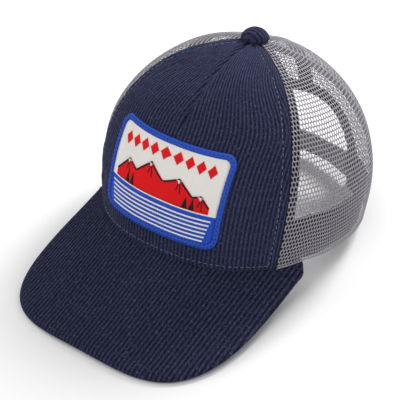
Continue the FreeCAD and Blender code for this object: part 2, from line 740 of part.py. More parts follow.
def make_strap_root(side):
    """Plate sewn inside the crown, led past the binding to a neck that ends in a round socket."""
    t_low = t_at_height(STRAP_BOTTOM + BACK_RIM_DROP)
    t_high = t_at_height(STRAP_BOTTOM + BACK_RIM_DROP + STRAP_HEIGHT)
    root = root_angle()
    span = STRAP_ROOT_LENGTH / math.hypot(*opening_point(root))
    sewn = crown_layer(lambda t: side * (root - span), lambda t: side * (root - 0.004),
                       ROOT_DEPTH, ROOT_DEPTH + ROOT_THICKNESS, t_low=t_low, t_high=t_high,
                       columns=5, rows=5)
    outer = STRAP_RADIUS - 0.1
    inner = STRAP_RADIUS - ROOT_THICKNESS + 0.1
    edge = STRAP_ROOT_ANGLE
    neck_start = edge - STRAP_NECK_START / STRAP_RADIUS
    neck_end = bend_angle() + STRAP_NECK_SETBACK / STRAP_RADIUS
    tongue = arc_plate(inner, outer, side * (edge + 0.8 / STRAP_RADIUS),
                       side * (neck_start - 0.5 / STRAP_RADIUS), STRAP_BOTTOM, STRAP_HEIGHT)
    mid = strap_mid_radius(side)
    neck = arc_plate(min(inner, mid - STRAP_THICKNESS / 2.0), max(outer, mid + STRAP_THICKNESS / 2.0),
                     side * neck_start, side * neck_end, STRAP_BOTTOM, STRAP_HEIGHT)
    socket = bend_post(side, STRAP_THICKNESS / 2.0 + STRAP_BEAD_CLEARANCE)
    word = "left" if side > 0 else "right"
    root = sewn.multiFuse([tongue, neck.cut(socket)])
    root = root.cut(PARTS["arch_binding"]).cut(PARTS["back_mesh_" + word])
    return max(root.Solids, key=lambda solid: solid.Volume)


def make_straps():
    middle_height = STRAP_BOTTOM + STRAP_HEIGHT / 2.0
    outer_in = STRAP_RADIUS + STRAP_GAP / 2.0
    inner_out = STRAP_RADIUS - STRAP_GAP / 2.0
    start = bend_angle()
    tip = math.asin(STRAP_OVERHANG / STRAP_RADIUS) + 0.02
    hole_strap = arc_plate(outer_in, outer_in + STRAP_THICKNESS, -start, tip, 0.0, 40.0)
    hole_strap = hole_strap.common(side_outline(-ARCH_HALF_WIDTH, STRAP_OVERHANG))
    hole_strap = hole_strap.fuse(bend_post(-1, STRAP_THICKNESS / 2.0))
    for angle in stud_places(-1):
        hole_strap = hole_strap.cut(radial_cone(STRAP_HOLE_RADIUS, STRAP_HOLE_RADIUS, outer_in - 2.0,
                                                6.0, angle, middle_height))
    peg_strap = arc_plate(inner_out - STRAP_THICKNESS, inner_out, -tip, start, 0.0, 40.0)
    peg_strap = peg_strap.common(side_outline(ARCH_HALF_WIDTH, -STRAP_OVERHANG))
    pegs = [radial_cone(PEG_RADIUS, PEG_TIP_RADIUS, inner_out - 0.3, PEG_HEIGHT + 0.3, angle,
                        middle_height) for angle in stud_places(1)]
    keep("hole_strap", hole_strap)
    keep("peg_strap", peg_strap.multiFuse([bend_post(1, STRAP_THICKNESS / 2.0)] + pegs))
    keep("peg_strap_root", make_strap_root(1))
    keep("hole_strap_root", make_strap_root(-1))


# ---- resting pose and export ---------------------------------------------------------------------------
def joint_report(lift):
    turn = FreeCAD.Rotation(Vector(1, 0, 0), -REST_PITCH_DEG)
    axis = turn.multVec(Vector(0, 0, 1))
    for side, name in ((1, "peg_strap"), (-1, "hole_strap")):
        mid = strap_mid_radius(side)
        x = side * mid * math.sin(bend_angle())
        y = STRAP_CENTRE_Y + mid * math.cos(bend_angle())
        place = turn.multVec(Vector(x, y, STRAP_BOTTOM + STRAP_HEIGHT / 2.0)) + lift
        print("hinge", name, [round(v / 1000.0, 5) for v in place], [round(v, 5) for v in axis])
    opening = turn.multVec(Vector(0, 0, 0)) + lift
    print("head opening", [round(v / 1000.0, 5) for v in opening], [round(-v, 5) for v in axis])


def extent(shape):
    """Lowest z, lowest y and highest y of a piece, from its fine facets."""
    points = shape.tessellate(0.05)[0]
    return min(p.z for p in points), min(p.y for p in points), max(p.y for p in points)


def main():
    make_panels()
    make_tapes()
    make_binding()
    make_sweatband()
    make_brim()
    make_patch()
    make_button()
    make_straps()
    for shape in PARTS.values():
        shape.rotate(Vector(0, 0, 0), Vector(1, 0, 0), -REST_PITCH_DEG)
    corners = {name: extent(shape) for name, shape in PARTS.items()}
    low = min(low_z for low_z, _, _ in corners.values())
    front = min(front_y for _, front_y, _ in corners.values())
    back = max(back_y for _, _, back_y in corners.values())
    lift = Vector(0, -(front + back) / 2.0, -low)
    for name, shape in PARTS.items():
        shape.translate(lift)
        shape.exportStep("parts/" + name + ".step")
    print("floor contacts: brim", round(corners["brim_under_cover"][0] - low, 2),
          "back rim", round(corners["back_mesh_left"][0] - low, 2),
          "binding", round(corners["arch_binding"][0] - low, 2))
    print("length", round(back - front, 1), "nodes", len(PARTS), "lift", [round(v, 3) for v in lift])
    joint_report(lift)


main()
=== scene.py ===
"""Looks of the trucker mesh cap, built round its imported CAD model.

The cloth surfaces are worked out in the worn frame in millimetres (x wearer's left, -y front,
z up from the head opening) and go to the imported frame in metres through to_rest().
"""
import json
import math

import bmesh
import bpy
import numpy as np
from mathutils import Matrix, Vector


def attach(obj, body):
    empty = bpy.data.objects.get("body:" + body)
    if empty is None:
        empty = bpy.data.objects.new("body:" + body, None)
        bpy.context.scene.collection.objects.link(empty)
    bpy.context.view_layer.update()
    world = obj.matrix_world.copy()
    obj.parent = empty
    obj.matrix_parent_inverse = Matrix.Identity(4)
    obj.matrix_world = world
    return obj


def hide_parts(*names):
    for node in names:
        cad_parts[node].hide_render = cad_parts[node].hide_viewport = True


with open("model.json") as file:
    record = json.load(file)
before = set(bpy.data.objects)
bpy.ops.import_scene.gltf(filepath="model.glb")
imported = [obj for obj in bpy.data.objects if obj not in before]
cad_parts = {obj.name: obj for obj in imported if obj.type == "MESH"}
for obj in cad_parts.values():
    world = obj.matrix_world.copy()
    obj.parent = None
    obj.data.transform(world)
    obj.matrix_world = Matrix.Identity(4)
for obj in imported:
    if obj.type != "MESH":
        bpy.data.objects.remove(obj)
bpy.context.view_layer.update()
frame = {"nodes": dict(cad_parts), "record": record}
random = np.random.default_rng(7)

# ---- driving dimensions, the same as the CAD model's (millimetres and degrees) ----
HALF_WIDTH, HALF_LENGTH, CROWN_HEIGHT = 88.4, 97.7, 114.4
APEX_PEAK, APEX_PEAK_POWER = 2.8, 60.0
APEX_BACK, APEX_SHIFT_POWER = 3.4, 1.5
OPENING_POWER = {"front": 2.23, "back": 2.05}
DOME_POWER = {"front": 2.41, "side": 2.63, "back": 2.33, "quarter": -0.09}
BULGE = {"front": -0.010, "side": 0.076, "back": -0.030, "quarter": -0.050}
RIM_DROP, RIM_DROP_START, RIM_DROP_END = 5.3, 75.0, 155.0
SEAM_BASE, SEAM_BOW, SEAM_SWEEP = 52.4, -1.7, 12.7
SIDE_SEAM = 108.0
APEX_HOLE = 4.0
BAND_HEIGHT = 34.0
BRIM_TAIL = 65.2
BRIM_HALF_WIDTH, BRIM_REACH, BRIM_TAIL_RUN = 84.5, 120.1, 4.25
BRIM_POWER_X, BRIM_POWER_Y = 3.62, 3.72
BRIM_SLOPE, BRIM_ARCH, BRIM_ARCH_CHANGE, BRIM_LIFT, BRIM_SCALE = 27.0, 0.00526, -0.00326, 2.52, 75.0
BRIM_TOP, BRIM_BOTTOM = 1.2, -2.8
ARCH_HALF_WIDTH, ARCH_TOP, ARCH_POWER = 47.0, 54.0, 2.2
BINDING_WIDTH = 8.5
PATCH_HALF_WIDTH, PATCH_HALF_HEIGHT, PATCH_CORNER = 46.5, 31.0, 8.5
PATCH_CENTRE, PATCH_SHIFT, PATCH_TILT = 46.3, -3.0, math.radians(-1.0)
BORDER_WIDTH = 3.4
HORIZON = -9.0
BUTTON_RADIUS, BUTTON_HEIGHT = 9.35, 8.1

# ---- cloth details ----
WALE_PITCH = 2.75            # corduroy ridge to ridge
WALE_HEIGHT = 0.56
FRONT_WALE_HEIGHT = 0.36      # pulled flatter where the cloth is stretched over the front
CLOTH_OFFSET = WALE_PITCH * 300   # keeps the cloth's own run positive
DART_SHARE = 0.30            # how much of the narrowing the centre dart takes up
TOP_GATHER = 1.3             # how much the front is gathered in under the button
MESH_PITCH = 2.2             # hole to hole along a row
MESH_ROW = 3.1               # row to row
MESH_STAGGER = 0.25          # shift of every row, in holes, one way and then the other
MESH_REACH = 95.0            # rows run this far to each side of the panel's grain line
HOLE_WIDE, HOLE_TALL = 0.90, 1.38   # half sizes
MESH_THICKNESS = 0.17
MESH_ARCH_GAP = 2.2          # holes stop this far outside the back opening
MESH_DEPTH, MESH_SWELL = 0.12, 0.5
STITCH_LENGTH, STITCH_GAP = 2.5, 1.3
SEAM_STITCH, BRIM_STITCH, STITCH_DEPTH = 6.0, 4.0, 0.32   # from the seam, from the brim, depth
SEAM_GAP = math.radians(0.12)   # left open between two panels
WALE_STEPS = 6                  # points across one wale
FRONT_ROWS, BRIM_ROWS = 120, 84
FRONT_DEEPEST, FRONT_INSIDE = 1.3, 1.42
BACKING_OUTSIDE, BACKING_INSIDE = 1.5, 1.95
TAPE_HALF_WIDTH, TAPE_THICKNESS, TAPE_STITCH = 6.5, 0.7, 5.2
TAPE_DEPTHS = {"dart": 2.2, "front": 1.9, "mesh": 0.95}
BAND_DROP = 3.0                 # how far the band hangs lower behind the forehead
BAND_STITCH, BAND_STITCH_DEPTH = 0.10, 4.85
TWILL_RISE, FIELD_RISE, MOTIF_RISE, DETAIL_RISE, LINE_RISE = 1.0, 1.05, 1.35, 1.7, 1.75
BUTTON_STRETCH, BUTTON_SHIFT = 1.03, 0.6   # run of the wales over the button
STRAP_ROUNDING = 0.00022        # metres, as the strap meshes are
SIDES = ((1, "left"), (-1, "right"))

opening = frame["record"]["mounts"][0]
ORIGIN = np.array(opening["pos_m"])
TIP_SIN, TIP_COS = -opening["axis"][1], -opening["axis"][2]


# ---- surfaces ----
def to_rest(points):
    """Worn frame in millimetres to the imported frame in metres."""
    p = np.asarray(points, float) * 0.001
    y = p[..., 1] * TIP_COS + p[..., 2] * TIP_SIN
    z = p[..., 2] * TIP_COS - p[..., 1] * TIP_SIN
    return np.stack([p[..., 0], y, z], -1) + ORIGIN


def power(value, exponent):
    return np.sign(value) * np.abs(value) ** exponent


def smooth(value):
    v = np.clip(value, 0.0, 1.0)
    return v * v * (3.0 - 2.0 * v)


def bell(distance, width, height):
    return height * np.exp(-(distance / width) ** 2)


def opening_xy(phi):
    c = np.cos(phi)
    e = 2.0 / np.where(c > 0, OPENING_POWER["front"], OPENING_POWER["back"])
    return HALF_WIDTH * power(np.sin(phi), e), -HALF_LENGTH * power(c, e)


def brim_shape(x, y):
    ahead = (-y - HALF_LENGTH) / BRIM_SCALE
    arch = np.maximum(BRIM_ARCH + BRIM_ARCH_CHANGE * ahead, 0.0)
    slope = math.tan(math.radians(BRIM_SLOPE)) * (-y - HALF_LENGTH)
    return BRIM_LIFT * np.maximum(ahead, 0.0) ** 2 - arch * x * x / 2.0 - slope


TAIL = math.radians(BRIM_TAIL)
TAIL_XY = tuple(float(v) for v in opening_xy(np.array(TAIL)))
BRIM_ZERO = -float(brim_shape(*(np.array(v) for v in TAIL_XY)))


def brim_height(x, y):
    return brim_shape(x, y) + BRIM_ZERO


def rim_height(phi):
    turn = np.abs(np.remainder(phi + math.pi, 2.0 * math.pi) - math.pi)
    lift = (BRIM_TOP + 0.1) * (1.0 - smooth((turn - TAIL) / math.radians(12.0)))
    drop = RIM_DROP * smooth((np.degrees(turn) - RIM_DROP_START) / (RIM_DROP_END - RIM_DROP_START))
    return np.where(turn < TAIL, brim_height(*opening_xy(phi)), -drop) + lift


def by_direction(phi, values):
    share = np.cos(phi) ** 2
    front = values["side"] + (values["front"] - values["side"]) * share
    quarter = values["quarter"] * np.sin(2.0 * phi) ** 2
    back = values["side"] + (values["back"] - values["side"]) * share + quarter
    return np.where(np.cos(phi) > 0, front, back)


def crown(phi, t):
    phi, t = np.broadcast_arrays(np.asarray(phi, float), np.asarray(t, float))
    e = 2.0 / by_direction(phi, DOME_POWER)
    angle = t * math.pi / 2.0
    rise = np.sin(angle) ** e
    inward = np.cos(angle) ** e * (1.0 + by_direction(phi, BULGE) * np.sin(math.pi * rise))
    x, y = opening_xy(phi)
    z = rim_height(phi) * (1.0 - rise) + CROWN_HEIGHT * rise + APEX_PEAK * rise ** APEX_PEAK_POWER
    return np.stack([x * inward, y * inward + APEX_BACK * rise ** APEX_SHIFT_POWER, z], -1)


def unit(v):
    return v / np.maximum(np.linalg.norm(v, axis=-1, keepdims=True), 1e-9)


def crown_normal(phi, t):
    phi, t = np.broadcast_arrays(np.asarray(phi, float), np.asarray(t, float))
    step = 0.004
    around = crown(phi + step, t) - crown(phi - step, t)
    upward = crown(phi, np.minimum(t + step, 0.999)) - crown(phi, np.maximum(t - step, 0.0))
    return unit(np.cross(around, upward))


def layer(phi, t, depth):
    """Points a given depth below the crown's outer surface."""
    return crown(phi, t) - crown_normal(phi, t) * np.asarray(depth, float)[..., None]


def profile_table(phi, samples=900):
    t = np.linspace(0.0, 0.997, samples)
    p = crown(np.full(samples, phi), t)
    return t, np.concatenate([[0.0], np.cumsum(np.linalg.norm(np.diff(p, axis=0), axis=1))])


def t_along(phi, length):
    """t at a distance up the profile at phi."""
    t, travel = profile_table(phi)
    return np.interp(length, travel, t)


def t_at_length(phi, length):
    """The same for each of several places round the crown."""
    return np.array([t_along(p, length) for p in phi])


def top_t():
    t = np.linspace(0.5, 0.9999, 3000)
    p = crown(np.zeros(3000), t)
    return float(np.interp(-APEX_HOLE, -np.hypot(p[:, 0], p[:, 1] - APEX_BACK), t))


T_TOP = top_t()


def front_seam(t):
    return np.radians(SEAM_BASE + SEAM_BOW * np.sin(math.pi * t) + SEAM_SWEEP * t)


def angle_for(length, t):
    p = crown(np.full(np.shape(t), math.pi / 2.0), t)
    radius = np.maximum(np.hypot(p[..., 0], p[..., 1] - APEX_BACK), 1.0)
    return np.clip(length / radius, -0.42, 0.42)


def around_table(t, phi_a, phi_b, samples=121):
    """For each t: angles from phi_a to phi_b and the distance travelled along the crown."""
    share = np.linspace(0.0, 1.0, samples)
    phi = phi_a[:, None] + (phi_b - phi_a)[:, None] * share
    p = crown(phi, t[:, None])
    step = np.linalg.norm(np.diff(p, axis=1), axis=2)
    return phi, np.concatenate([np.zeros((len(t), 1)), np.cumsum(step, axis=1)], axis=1)


def halved(low, high, short):
    """Halves the stretch from low to high down to where short() stops being true."""
    for _ in range(26):
        middle = (low + high) / 2.0
        below = short(middle)
        low, high = np.where(below, middle, low), np.where(below, high, middle)
    return middle


def back_place(x, z):
    """phi and t of the back surface at a worn x and z."""
    phi = math.pi - np.arcsin(np.clip(x / HALF_WIDTH, -0.95, 0.95))
    for _ in range(9):
        t = halved(0.0, 0.95, lambda v: crown(phi, v)[..., 2] < z)
        phi = halved(math.pi * 0.55, math.pi * 1.45, lambda v: crown(v, t)[..., 0] > x)
    return phi, t


# ---- mesh makers ----
def add_object(name, data):
    obj = bpy.data.objects.new(name, data)
    bpy.context.scene.collection.objects.link(obj)
    return obj


def new_piece(name, points, faces, uv=None, replaces=(), slot="", material="", merge=0.0):
    """A smooth-shaded piece of the crown from worn-frame points, in its slot's material by default."""
    mesh = bpy.data.meshes.new(name)
    mesh.from_pydata(to_rest(points).tolist(), [], [list(f) for f in faces])
    if uv is not None:
        layer_uv = mesh.uv_layers.new(name="cloth")
        index = np.zeros(len(mesh.loops), np.int64)
        mesh.loops.foreach_get("vertex_index", index)
        layer_uv.data.foreach_set("uv", (np.asarray(uv, float)[index] * 0.001).ravel())
    if merge:
        work = bmesh.new()
        work.from_mesh(mesh)
        bmesh.ops.remove_doubles(work, verts=work.verts, dist=merge * 0.001)
        bmesh.ops.dissolve_degenerate(work, edges=work.edges, dist=merge * 0.0005)
        work.to_mesh(mesh)
        work.free()
    mesh.validate()
    mesh.shade_smooth()
    piece = add_object(name, mesh)
    mesh.materials.append(MATERIALS[material or slot])
    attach(piece, "crown")
    if replaces:
        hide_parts(*replaces)
    return piece


def apply_modifiers(piece):
    graph = bpy.context.evaluated_depsgraph_get()
    done = bpy.data.meshes.new_from_object(piece.evaluated_get(graph))
    piece.modifiers.clear()
    done.name = piece.data.name + "_done"
    piece.data = done


def grid_faces(rows, columns, start=0, flip=False, wrap=False):
    r = np.arange(rows - 1)[:, None]
    count = columns if wrap else columns - 1
    c = np.arange(count)[None, :]
    nxt = (c + 1) % columns
    a, b = start + r * columns + c, start + r * columns + nxt
    quads = np.stack([a, b, b + columns, a + columns], -1).reshape(-1, 4)
    return quads[:, ::-1] if flip else quads


def sheet_between(outer, inner, uv=None):
    """Points, faces and uv of a closed plate between two equal grids."""
    rows, columns = outer.shape[:2]
    n = rows * columns
    points = np.concatenate([outer.reshape(-1, 3), inner.reshape(-1, 3)])
    faces = [grid_faces(rows, columns), grid_faces(rows, columns, n, flip=True)]
    ring = np.concatenate([np.arange(columns), np.arange(1, rows) * columns + columns - 1,
                           (rows - 1) * columns + np.arange(columns - 2, -1, -1),
                           np.arange(rows - 2, 0, -1) * columns])
    nxt = np.roll(ring, -1)
    faces.append(np.stack([nxt, ring, ring + n, nxt + n], -1))
    if uv is not None:
        uv = np.concatenate([uv.reshape(-1, 2)] * 2)
    return points, np.concatenate(faces), uv


def turn_angles(count):
    return np.linspace(0, 2 * math.pi, count, endpoint=False)


def swept(sections, closed=False):
    """Tube through cross-sections (n, k, 3); its ends are capped unless it closes on itself."""
    n, k = sections.shape[:2]
    points = sections.reshape(-1, 3)
    faces = [list(f) for f in grid_faces(n, k, wrap=True)]
    if closed:
        last = (n - 1) * k
        faces += [[last + i, last + (i + 1) % k, (i + 1) % k, i] for i in range(k)]
    else:
        faces.append(list(range(k))[::-1])
        faces.append([(n - 1) * k + i for i in range(k)])
    return points, faces


def join_parts(parts):
    """Several (points, faces) as one."""
    points, faces, start = [], [], 0
    for p, f in parts:
        points.append(p)
        faces += [[int(i) + start for i in face] for face in f]
        start += len(p)
    return np.concatenate(points), faces


def stitch_parts(path, normal, length=STITCH_LENGTH, gap=STITCH_GAP, radius=0.22, sink=0.25):
    """Thread dashes along a path: each rises out of the cloth, runs and dips back in."""
    travel = np.concatenate([[0.0], np.cumsum(np.linalg.norm(np.diff(path, axis=0), axis=1))])
    count = max(int(travel[-1] / (length + gap)), 1)
    pitch = travel[-1] / count
    parts = []
    shares = np.array([-0.5, -0.42, -0.2, 0.2, 0.42, 0.5])
    swell = np.array([0.35, 0.85, 1.0, 1.0, 0.85, 0.35])
    for i in range(count):
        centre = (i + 0.5) * pitch + random.normal(0.0, 0.06)
        at = centre + shares * length
        p = np.stack([np.interp(at, travel, path[:, k]) for k in range(3)], -1)
        n = unit(np.stack([np.interp(at, travel, normal[:, k]) for k in range(3)], -1))
        tangent = unit(np.gradient(p, axis=0))
        side = unit(np.cross(tangent, n))
        p = p + n * (radius * 0.6 - sink * (np.abs(shares) * 2.0) ** 4)[:, None]
        a = turn_angles(6)[None, :, None]
        ring = side[:, None] * np.cos(a) * 1.15 + n[:, None] * np.sin(a)
        parts.append(swept(p[:, None] + ring * (radius * swell)[:, None, None]))
    return parts


def stitch_row(phi, t, depth, out=1.0, **thread):
    """Stitches along a row of places on the crown, on its outer side or, at -1, its inner one."""
    return stitch_parts(layer(phi, t, depth), crown_normal(phi, t) * out, **thread)


# ---- materials ----
class Nodes:
    """Short way to build a node tree for one Principled material."""

    def __init__(self, name, roughness=0.8, **sockets):
        self.material = bpy.data.materials.new(name)
        self.material.use_nodes = True
        self.tree = self.material.node_tree
        self.shader = self.tree.nodes["Principled BSDF"]
        self.shader.inputs["Roughness"].default_value = roughness
        for socket, value in sockets.items():
            self.shader.inputs[socket.replace("_", " ")].default_value = value

    def add(self, kind, values=None, **properties):
        node = self.tree.nodes.new(kind)
        for key, value in properties.items():
            setattr(node, key, value)
        for key, value in (values or {}).items():
            node.inputs[key].default_value = value
        return node

    def link(self, a, b):
        self.tree.links.new(a, b)

    def place(self, scale=(1, 1, 1), cloth=False):
        """Texture place in metres: packed-frame position, or the cloth's own run."""
        source = self.add("ShaderNodeUVMap", uv_map="cloth") if cloth else self.add("ShaderNodeTexCoord")
        mapping = self.add("ShaderNodeMapping", {"Scale": scale})
        self.link(source.outputs["UV" if cloth else "Object"], mapping.inputs["Vector"])
        return mapping.outputs["Vector"]

    def texture(self, kind, place, values, **properties):
        node = self.add(kind, values, **properties)
        self.link(place, node.inputs["Vector"])
        return node.outputs["Fac"]

    def noise(self, scale, place, detail=3.0, rough=0.6):
        return self.texture("ShaderNodeTexNoise", place,
                            {"Scale": scale, "Detail": detail, "Roughness": rough})

    def wave(self, scale, place, direction="X", distortion=0.0):
        return self.texture("ShaderNodeTexWave", place, {"Scale": scale, "Distortion": distortion,
                                                         "Phase Offset": math.pi},
                            bands_direction=direction)

    def ramp(self, factor, stops):
        node = self.add("ShaderNodeValToRGB")
        elements = node.color_ramp.elements
        while len(elements) < len(stops):
            elements.new(0.5)
        for element, (position, colour) in zip(elements, stops):
            element.position = position
            element.color = (*colour, 1.0)
        self.link(factor, node.inputs["Fac"])
        return node.outputs["Color"]

    def feed(self, node, values):
        """Gives numbered inputs their number, colour or link."""
        for place, value in values.items():
            socket = node.inputs[place]
            if isinstance(value, (int, float)):
                socket.default_value = value
            elif isinstance(value, tuple):
                socket.default_value = (*value, 1.0)
            else:
                self.link(value, socket)

    def mix(self, factor, a, b, mode="MIX"):
        node = self.add("ShaderNodeMix", data_type="RGBA", blend_type=mode)
        self.feed(node, {0: factor, 6: a, 7: b})   # the colour sockets of this node
        return node.outputs[2]

    def math(self, operation, a, b):
        node = self.add("ShaderNodeMath", operation=operation)
        self.feed(node, {0: a, 1: b})
        return node.outputs[0]

    def colour(self, output):
        self.link(output, self.shader.inputs["Base Color"])

    def bump(self, height, strength, distance):
        node = self.add("ShaderNodeBump", {"Strength": strength, "Distance": distance})
        self.link(height, node.inputs["Height"])
        self.link(node.outputs["Normal"], self.shader.inputs["Normal"])


def corduroy_material(name, tone, groove):
    """Navy wide-wale corduroy: painted highlight on the ridges' pile, painted shade in the grooves
    between them, fine lengthways nap with painted sheen.
    """
    m = Nodes(name, roughness=0.92, Sheen_Weight=0.12, Sheen_Roughness=0.45,
              Sheen_Tint=(0.45, 0.5, 0.75, 1.0), Specular_IOR_Level=0.12)
    cloth = m.place(cloth=True)
    repeat = 1000.0 / WALE_PITCH / 10.0 * math.pi
    ridge = m.wave(repeat, cloth)
    nap = m.noise(1.0, m.place((1500.0, 420.0, 1.0), cloth=True), detail=4.0, rough=0.75)
    patchy = m.noise(38.0, m.place(), detail=3.0)
    # the groove stop is painted shade (a larger groove makes it paler); the ridge stop is a painted
    # highlight
    stops = [(0.0, (0.0013 * groove, 0.0015 * groove, 0.0055 * groove)),
             (0.35, (0.0080, 0.0090, 0.0270)), (1.0, (0.0345, 0.0380, 0.0930))]
    shade = m.ramp(ridge, [(at, tuple(tone * c for c in colour)) for at, colour in stops])
    # painted sheen: the pile lightened along the nap
    lit = m.mix(m.math("MULTIPLY", nap, 0.35), shade, (0.038, 0.042, 0.090), "MIX")
    # streaks along the nap: partly the pile's own uneven tone, partly painted sheen
    fleck = m.ramp(nap, [(0.38, (0.35, 0.35, 0.35)), (0.64, (1.35, 1.35, 1.35))])
    toned = m.mix(0.85, lit, fleck, "MULTIPLY")
    # painted glints: small light flecks of sheen along the nap
    sparkle = m.ramp(m.noise(1.0, m.place((900.0, 520.0, 1.0), cloth=True), detail=2.0, rough=0.8),
                     [(0.57, (0.0, 0.0, 0.0)), (0.74, (0.075, 0.083, 0.130))])
    toned = m.mix(1.0, toned, sparkle, "ADD")
    wear = m.ramp(patchy, [(0.3, (0.86, 0.86, 0.88)), (0.7, (1.12, 1.12, 1.1))])
    m.colour(m.mix(0.8, toned, wear, "MULTIPLY"))
    fibre = m.noise(3400.0, m.place(), detail=2.0)
    m.bump(m.math("ADD", m.math("MULTIPLY", nap, 0.6), fibre), 0.45, 0.00022)
    return m.material


def mesh_material():
    m = Nodes("knit_mesh", roughness=0.62, Sheen_Weight=0.15, Specular_IOR_Level=0.35)
    place = m.place()
    fine = m.noise(2600.0, place, detail=2.0)
    broad = m.noise(55.0, place)
    tone = m.mix(fine, (0.213, 0.200, 0.228), (0.322, 0.303, 0.338))
    shade = m.ramp(broad, [(0.3, (0.93, 0.93, 0.93)), (0.7, (1.06, 1.05, 1.07))])
    m.colour(m.mix(1.0, tone, shade, "MULTIPLY"))
    m.bump(fine, 0.5, 0.00012)
    return m.material


def twill_material(name, dark, light, scale=1500.0, roughness=0.85):
    """Woven tape or band: a fine diagonal twill with uneven yarns."""
    m = Nodes(name, roughness=roughness, Sheen_Weight=0.2, Specular_IOR_Level=0.2)
    place = m.place((1.0, 0.75, 0.9))
    weave = m.wave(scale / 20.0 * math.pi, place, "DIAGONAL", 0.8)
    yarn = m.noise(scale * 1.6, place, detail=2.0)
    m.colour(m.mix(m.math("MULTIPLY", weave, yarn), dark, light))
    m.bump(m.math("ADD", weave, m.math("MULTIPLY", yarn, 0.5)), 0.4, 0.00012)
    return m.material


def grained_material(name, dark, light, scale, strength, height, detail=3.0, rough=0.6,
                     stretch=(1, 1, 1), **sockets):
    """One even grain of filaments, fibres or scratches that shades and raises the surface."""
    m = Nodes(name, **sockets)
    grain = m.noise(scale, m.place(stretch), detail, rough)
    m.colour(m.mix(grain, dark, light))
    m.bump(grain, strength, height)
    return m.material


def thread_material(name, colour, spread):
    """Shiny embroidery thread with fine filaments and a little shade from stitch to stitch."""
    low = tuple(c * (1.0 - spread) for c in colour)
    high = tuple(min(c * (1.0 + spread), 1.0) for c in colour)
    return grained_material(name, low, high, 2300.0, 0.35, 0.0001, roughness=0.58, Sheen_Weight=0.04,
                            Specular_IOR_Level=0.22, Anisotropic=0.3)


def plastic_material(name, dark, light, roughness=0.38):
    """Moulded plastic: faint flow streaks and a fine satin grain."""
    m = Nodes(name, roughness=roughness, Specular_IOR_Level=0.5, Coat_Weight=0.08)
    flow = m.noise(60.0, m.place((1.0, 1.0, 5.0)), detail=3.0)
    m.colour(m.mix(flow, dark, light))
    m.bump(m.noise(2600.0, m.place(), detail=1.0), 0.12, 0.00006)
    return m.material


MATERIALS = {
    # lit and shaded copies of the one cloth: the front is painted lighter, with paler painted groove
    # shade, and the brim is painted darker
    "corduroy": corduroy_material("corduroy", 1.26, 4.0),
    "brim_corduroy": corduroy_material("brim_corduroy", 0.93, 1.0),
    "mesh": mesh_material(),
    "tape": twill_material("navy_tape", (0.006, 0.007, 0.016), (0.03, 0.033, 0.062)),
    "band": twill_material("band_twill", (0.009, 0.010, 0.023), (0.04, 0.044, 0.085), 1100.0),
    "felt": grained_material("backing_felt", (0.74, 0.73, 0.72), (0.90, 0.89, 0.88), 1700.0, 0.5, 0.0002,
                             5.0, 0.75, roughness=0.95, Sheen_Weight=0.2, Specular_IOR_Level=0.1),
    "strap": plastic_material("strap_plastic", (0.20, 0.19, 0.21), (0.25, 0.24, 0.26)),
    "steel": grained_material("pressed_steel", (0.42, 0.42, 0.43), (0.62, 0.62, 0.63), 900.0, 0.15,
                              0.00005, 4.0, stretch=(1.0, 1.0, 0.15), roughness=0.34, Metallic=1.0),
    "board": plastic_material("board_plastic", (0.74, 0.74, 0.72), (0.82, 0.82, 0.80), 0.5),
}
for thread, colour, spread in (
        ("topstitch", (0.20, 0.215, 0.28), 0.25), ("border_chain", (0.003, 0.010, 0.07), 0.25),
        ("navy", (0.022, 0.025, 0.055), 0.25), ("border", (0.015, 0.074, 0.48), 0.35),
        ("white", (0.88, 0.85, 0.81), 0.08), ("blue", (0.016, 0.085, 0.54), 0.22),
        ("red", (0.82, 0.004, 0.007), 0.15), ("black", (0.009, 0.009, 0.012), 0.3)):
    MATERIALS[thread] = thread_material(thread + "_thread", colour, spread)


# ---- front panel ----
def wale_ridge(run):
    return np.abs(np.cos(math.pi * run / WALE_PITCH)) ** 0.75


def low_waves(points, size, amount, seed):
    """Gentle random swell over the cloth, from a few plane waves."""
    rng = np.random.default_rng(seed)
    total = np.zeros(points.shape[:-1])
    for _ in range(9):
        direction = unit(rng.normal(size=3))
        total += np.sin(points @ direction * 2.0 * math.pi / (size * rng.uniform(0.7, 1.6))
                        + rng.uniform(0, 6.28))
    return total * amount / 3.0


def dart_shift(lengths, half, start):
    """Distance that the dart has swallowed on each side of the centre line."""
    narrowing = np.maximum(-np.gradient(half, lengths), 0.0) * smooth((lengths - start) / 18.0)
    return DART_SHARE * np.cumsum(narrowing * np.gradient(lengths))


def fuzz(shape, passes=2):
    """Uneven pile: random values evened out a little along the cloth."""
    values = random.normal(size=shape)
    for _ in range(passes):
        values = (np.roll(values, 1, 0) + 2.0 * values + np.roll(values, -1, 0)) / 4.0
        values = (np.roll(values, 1, 1) + 2.0 * values + np.roll(values, -1, 1)) / 4.0
    return values / values.std()


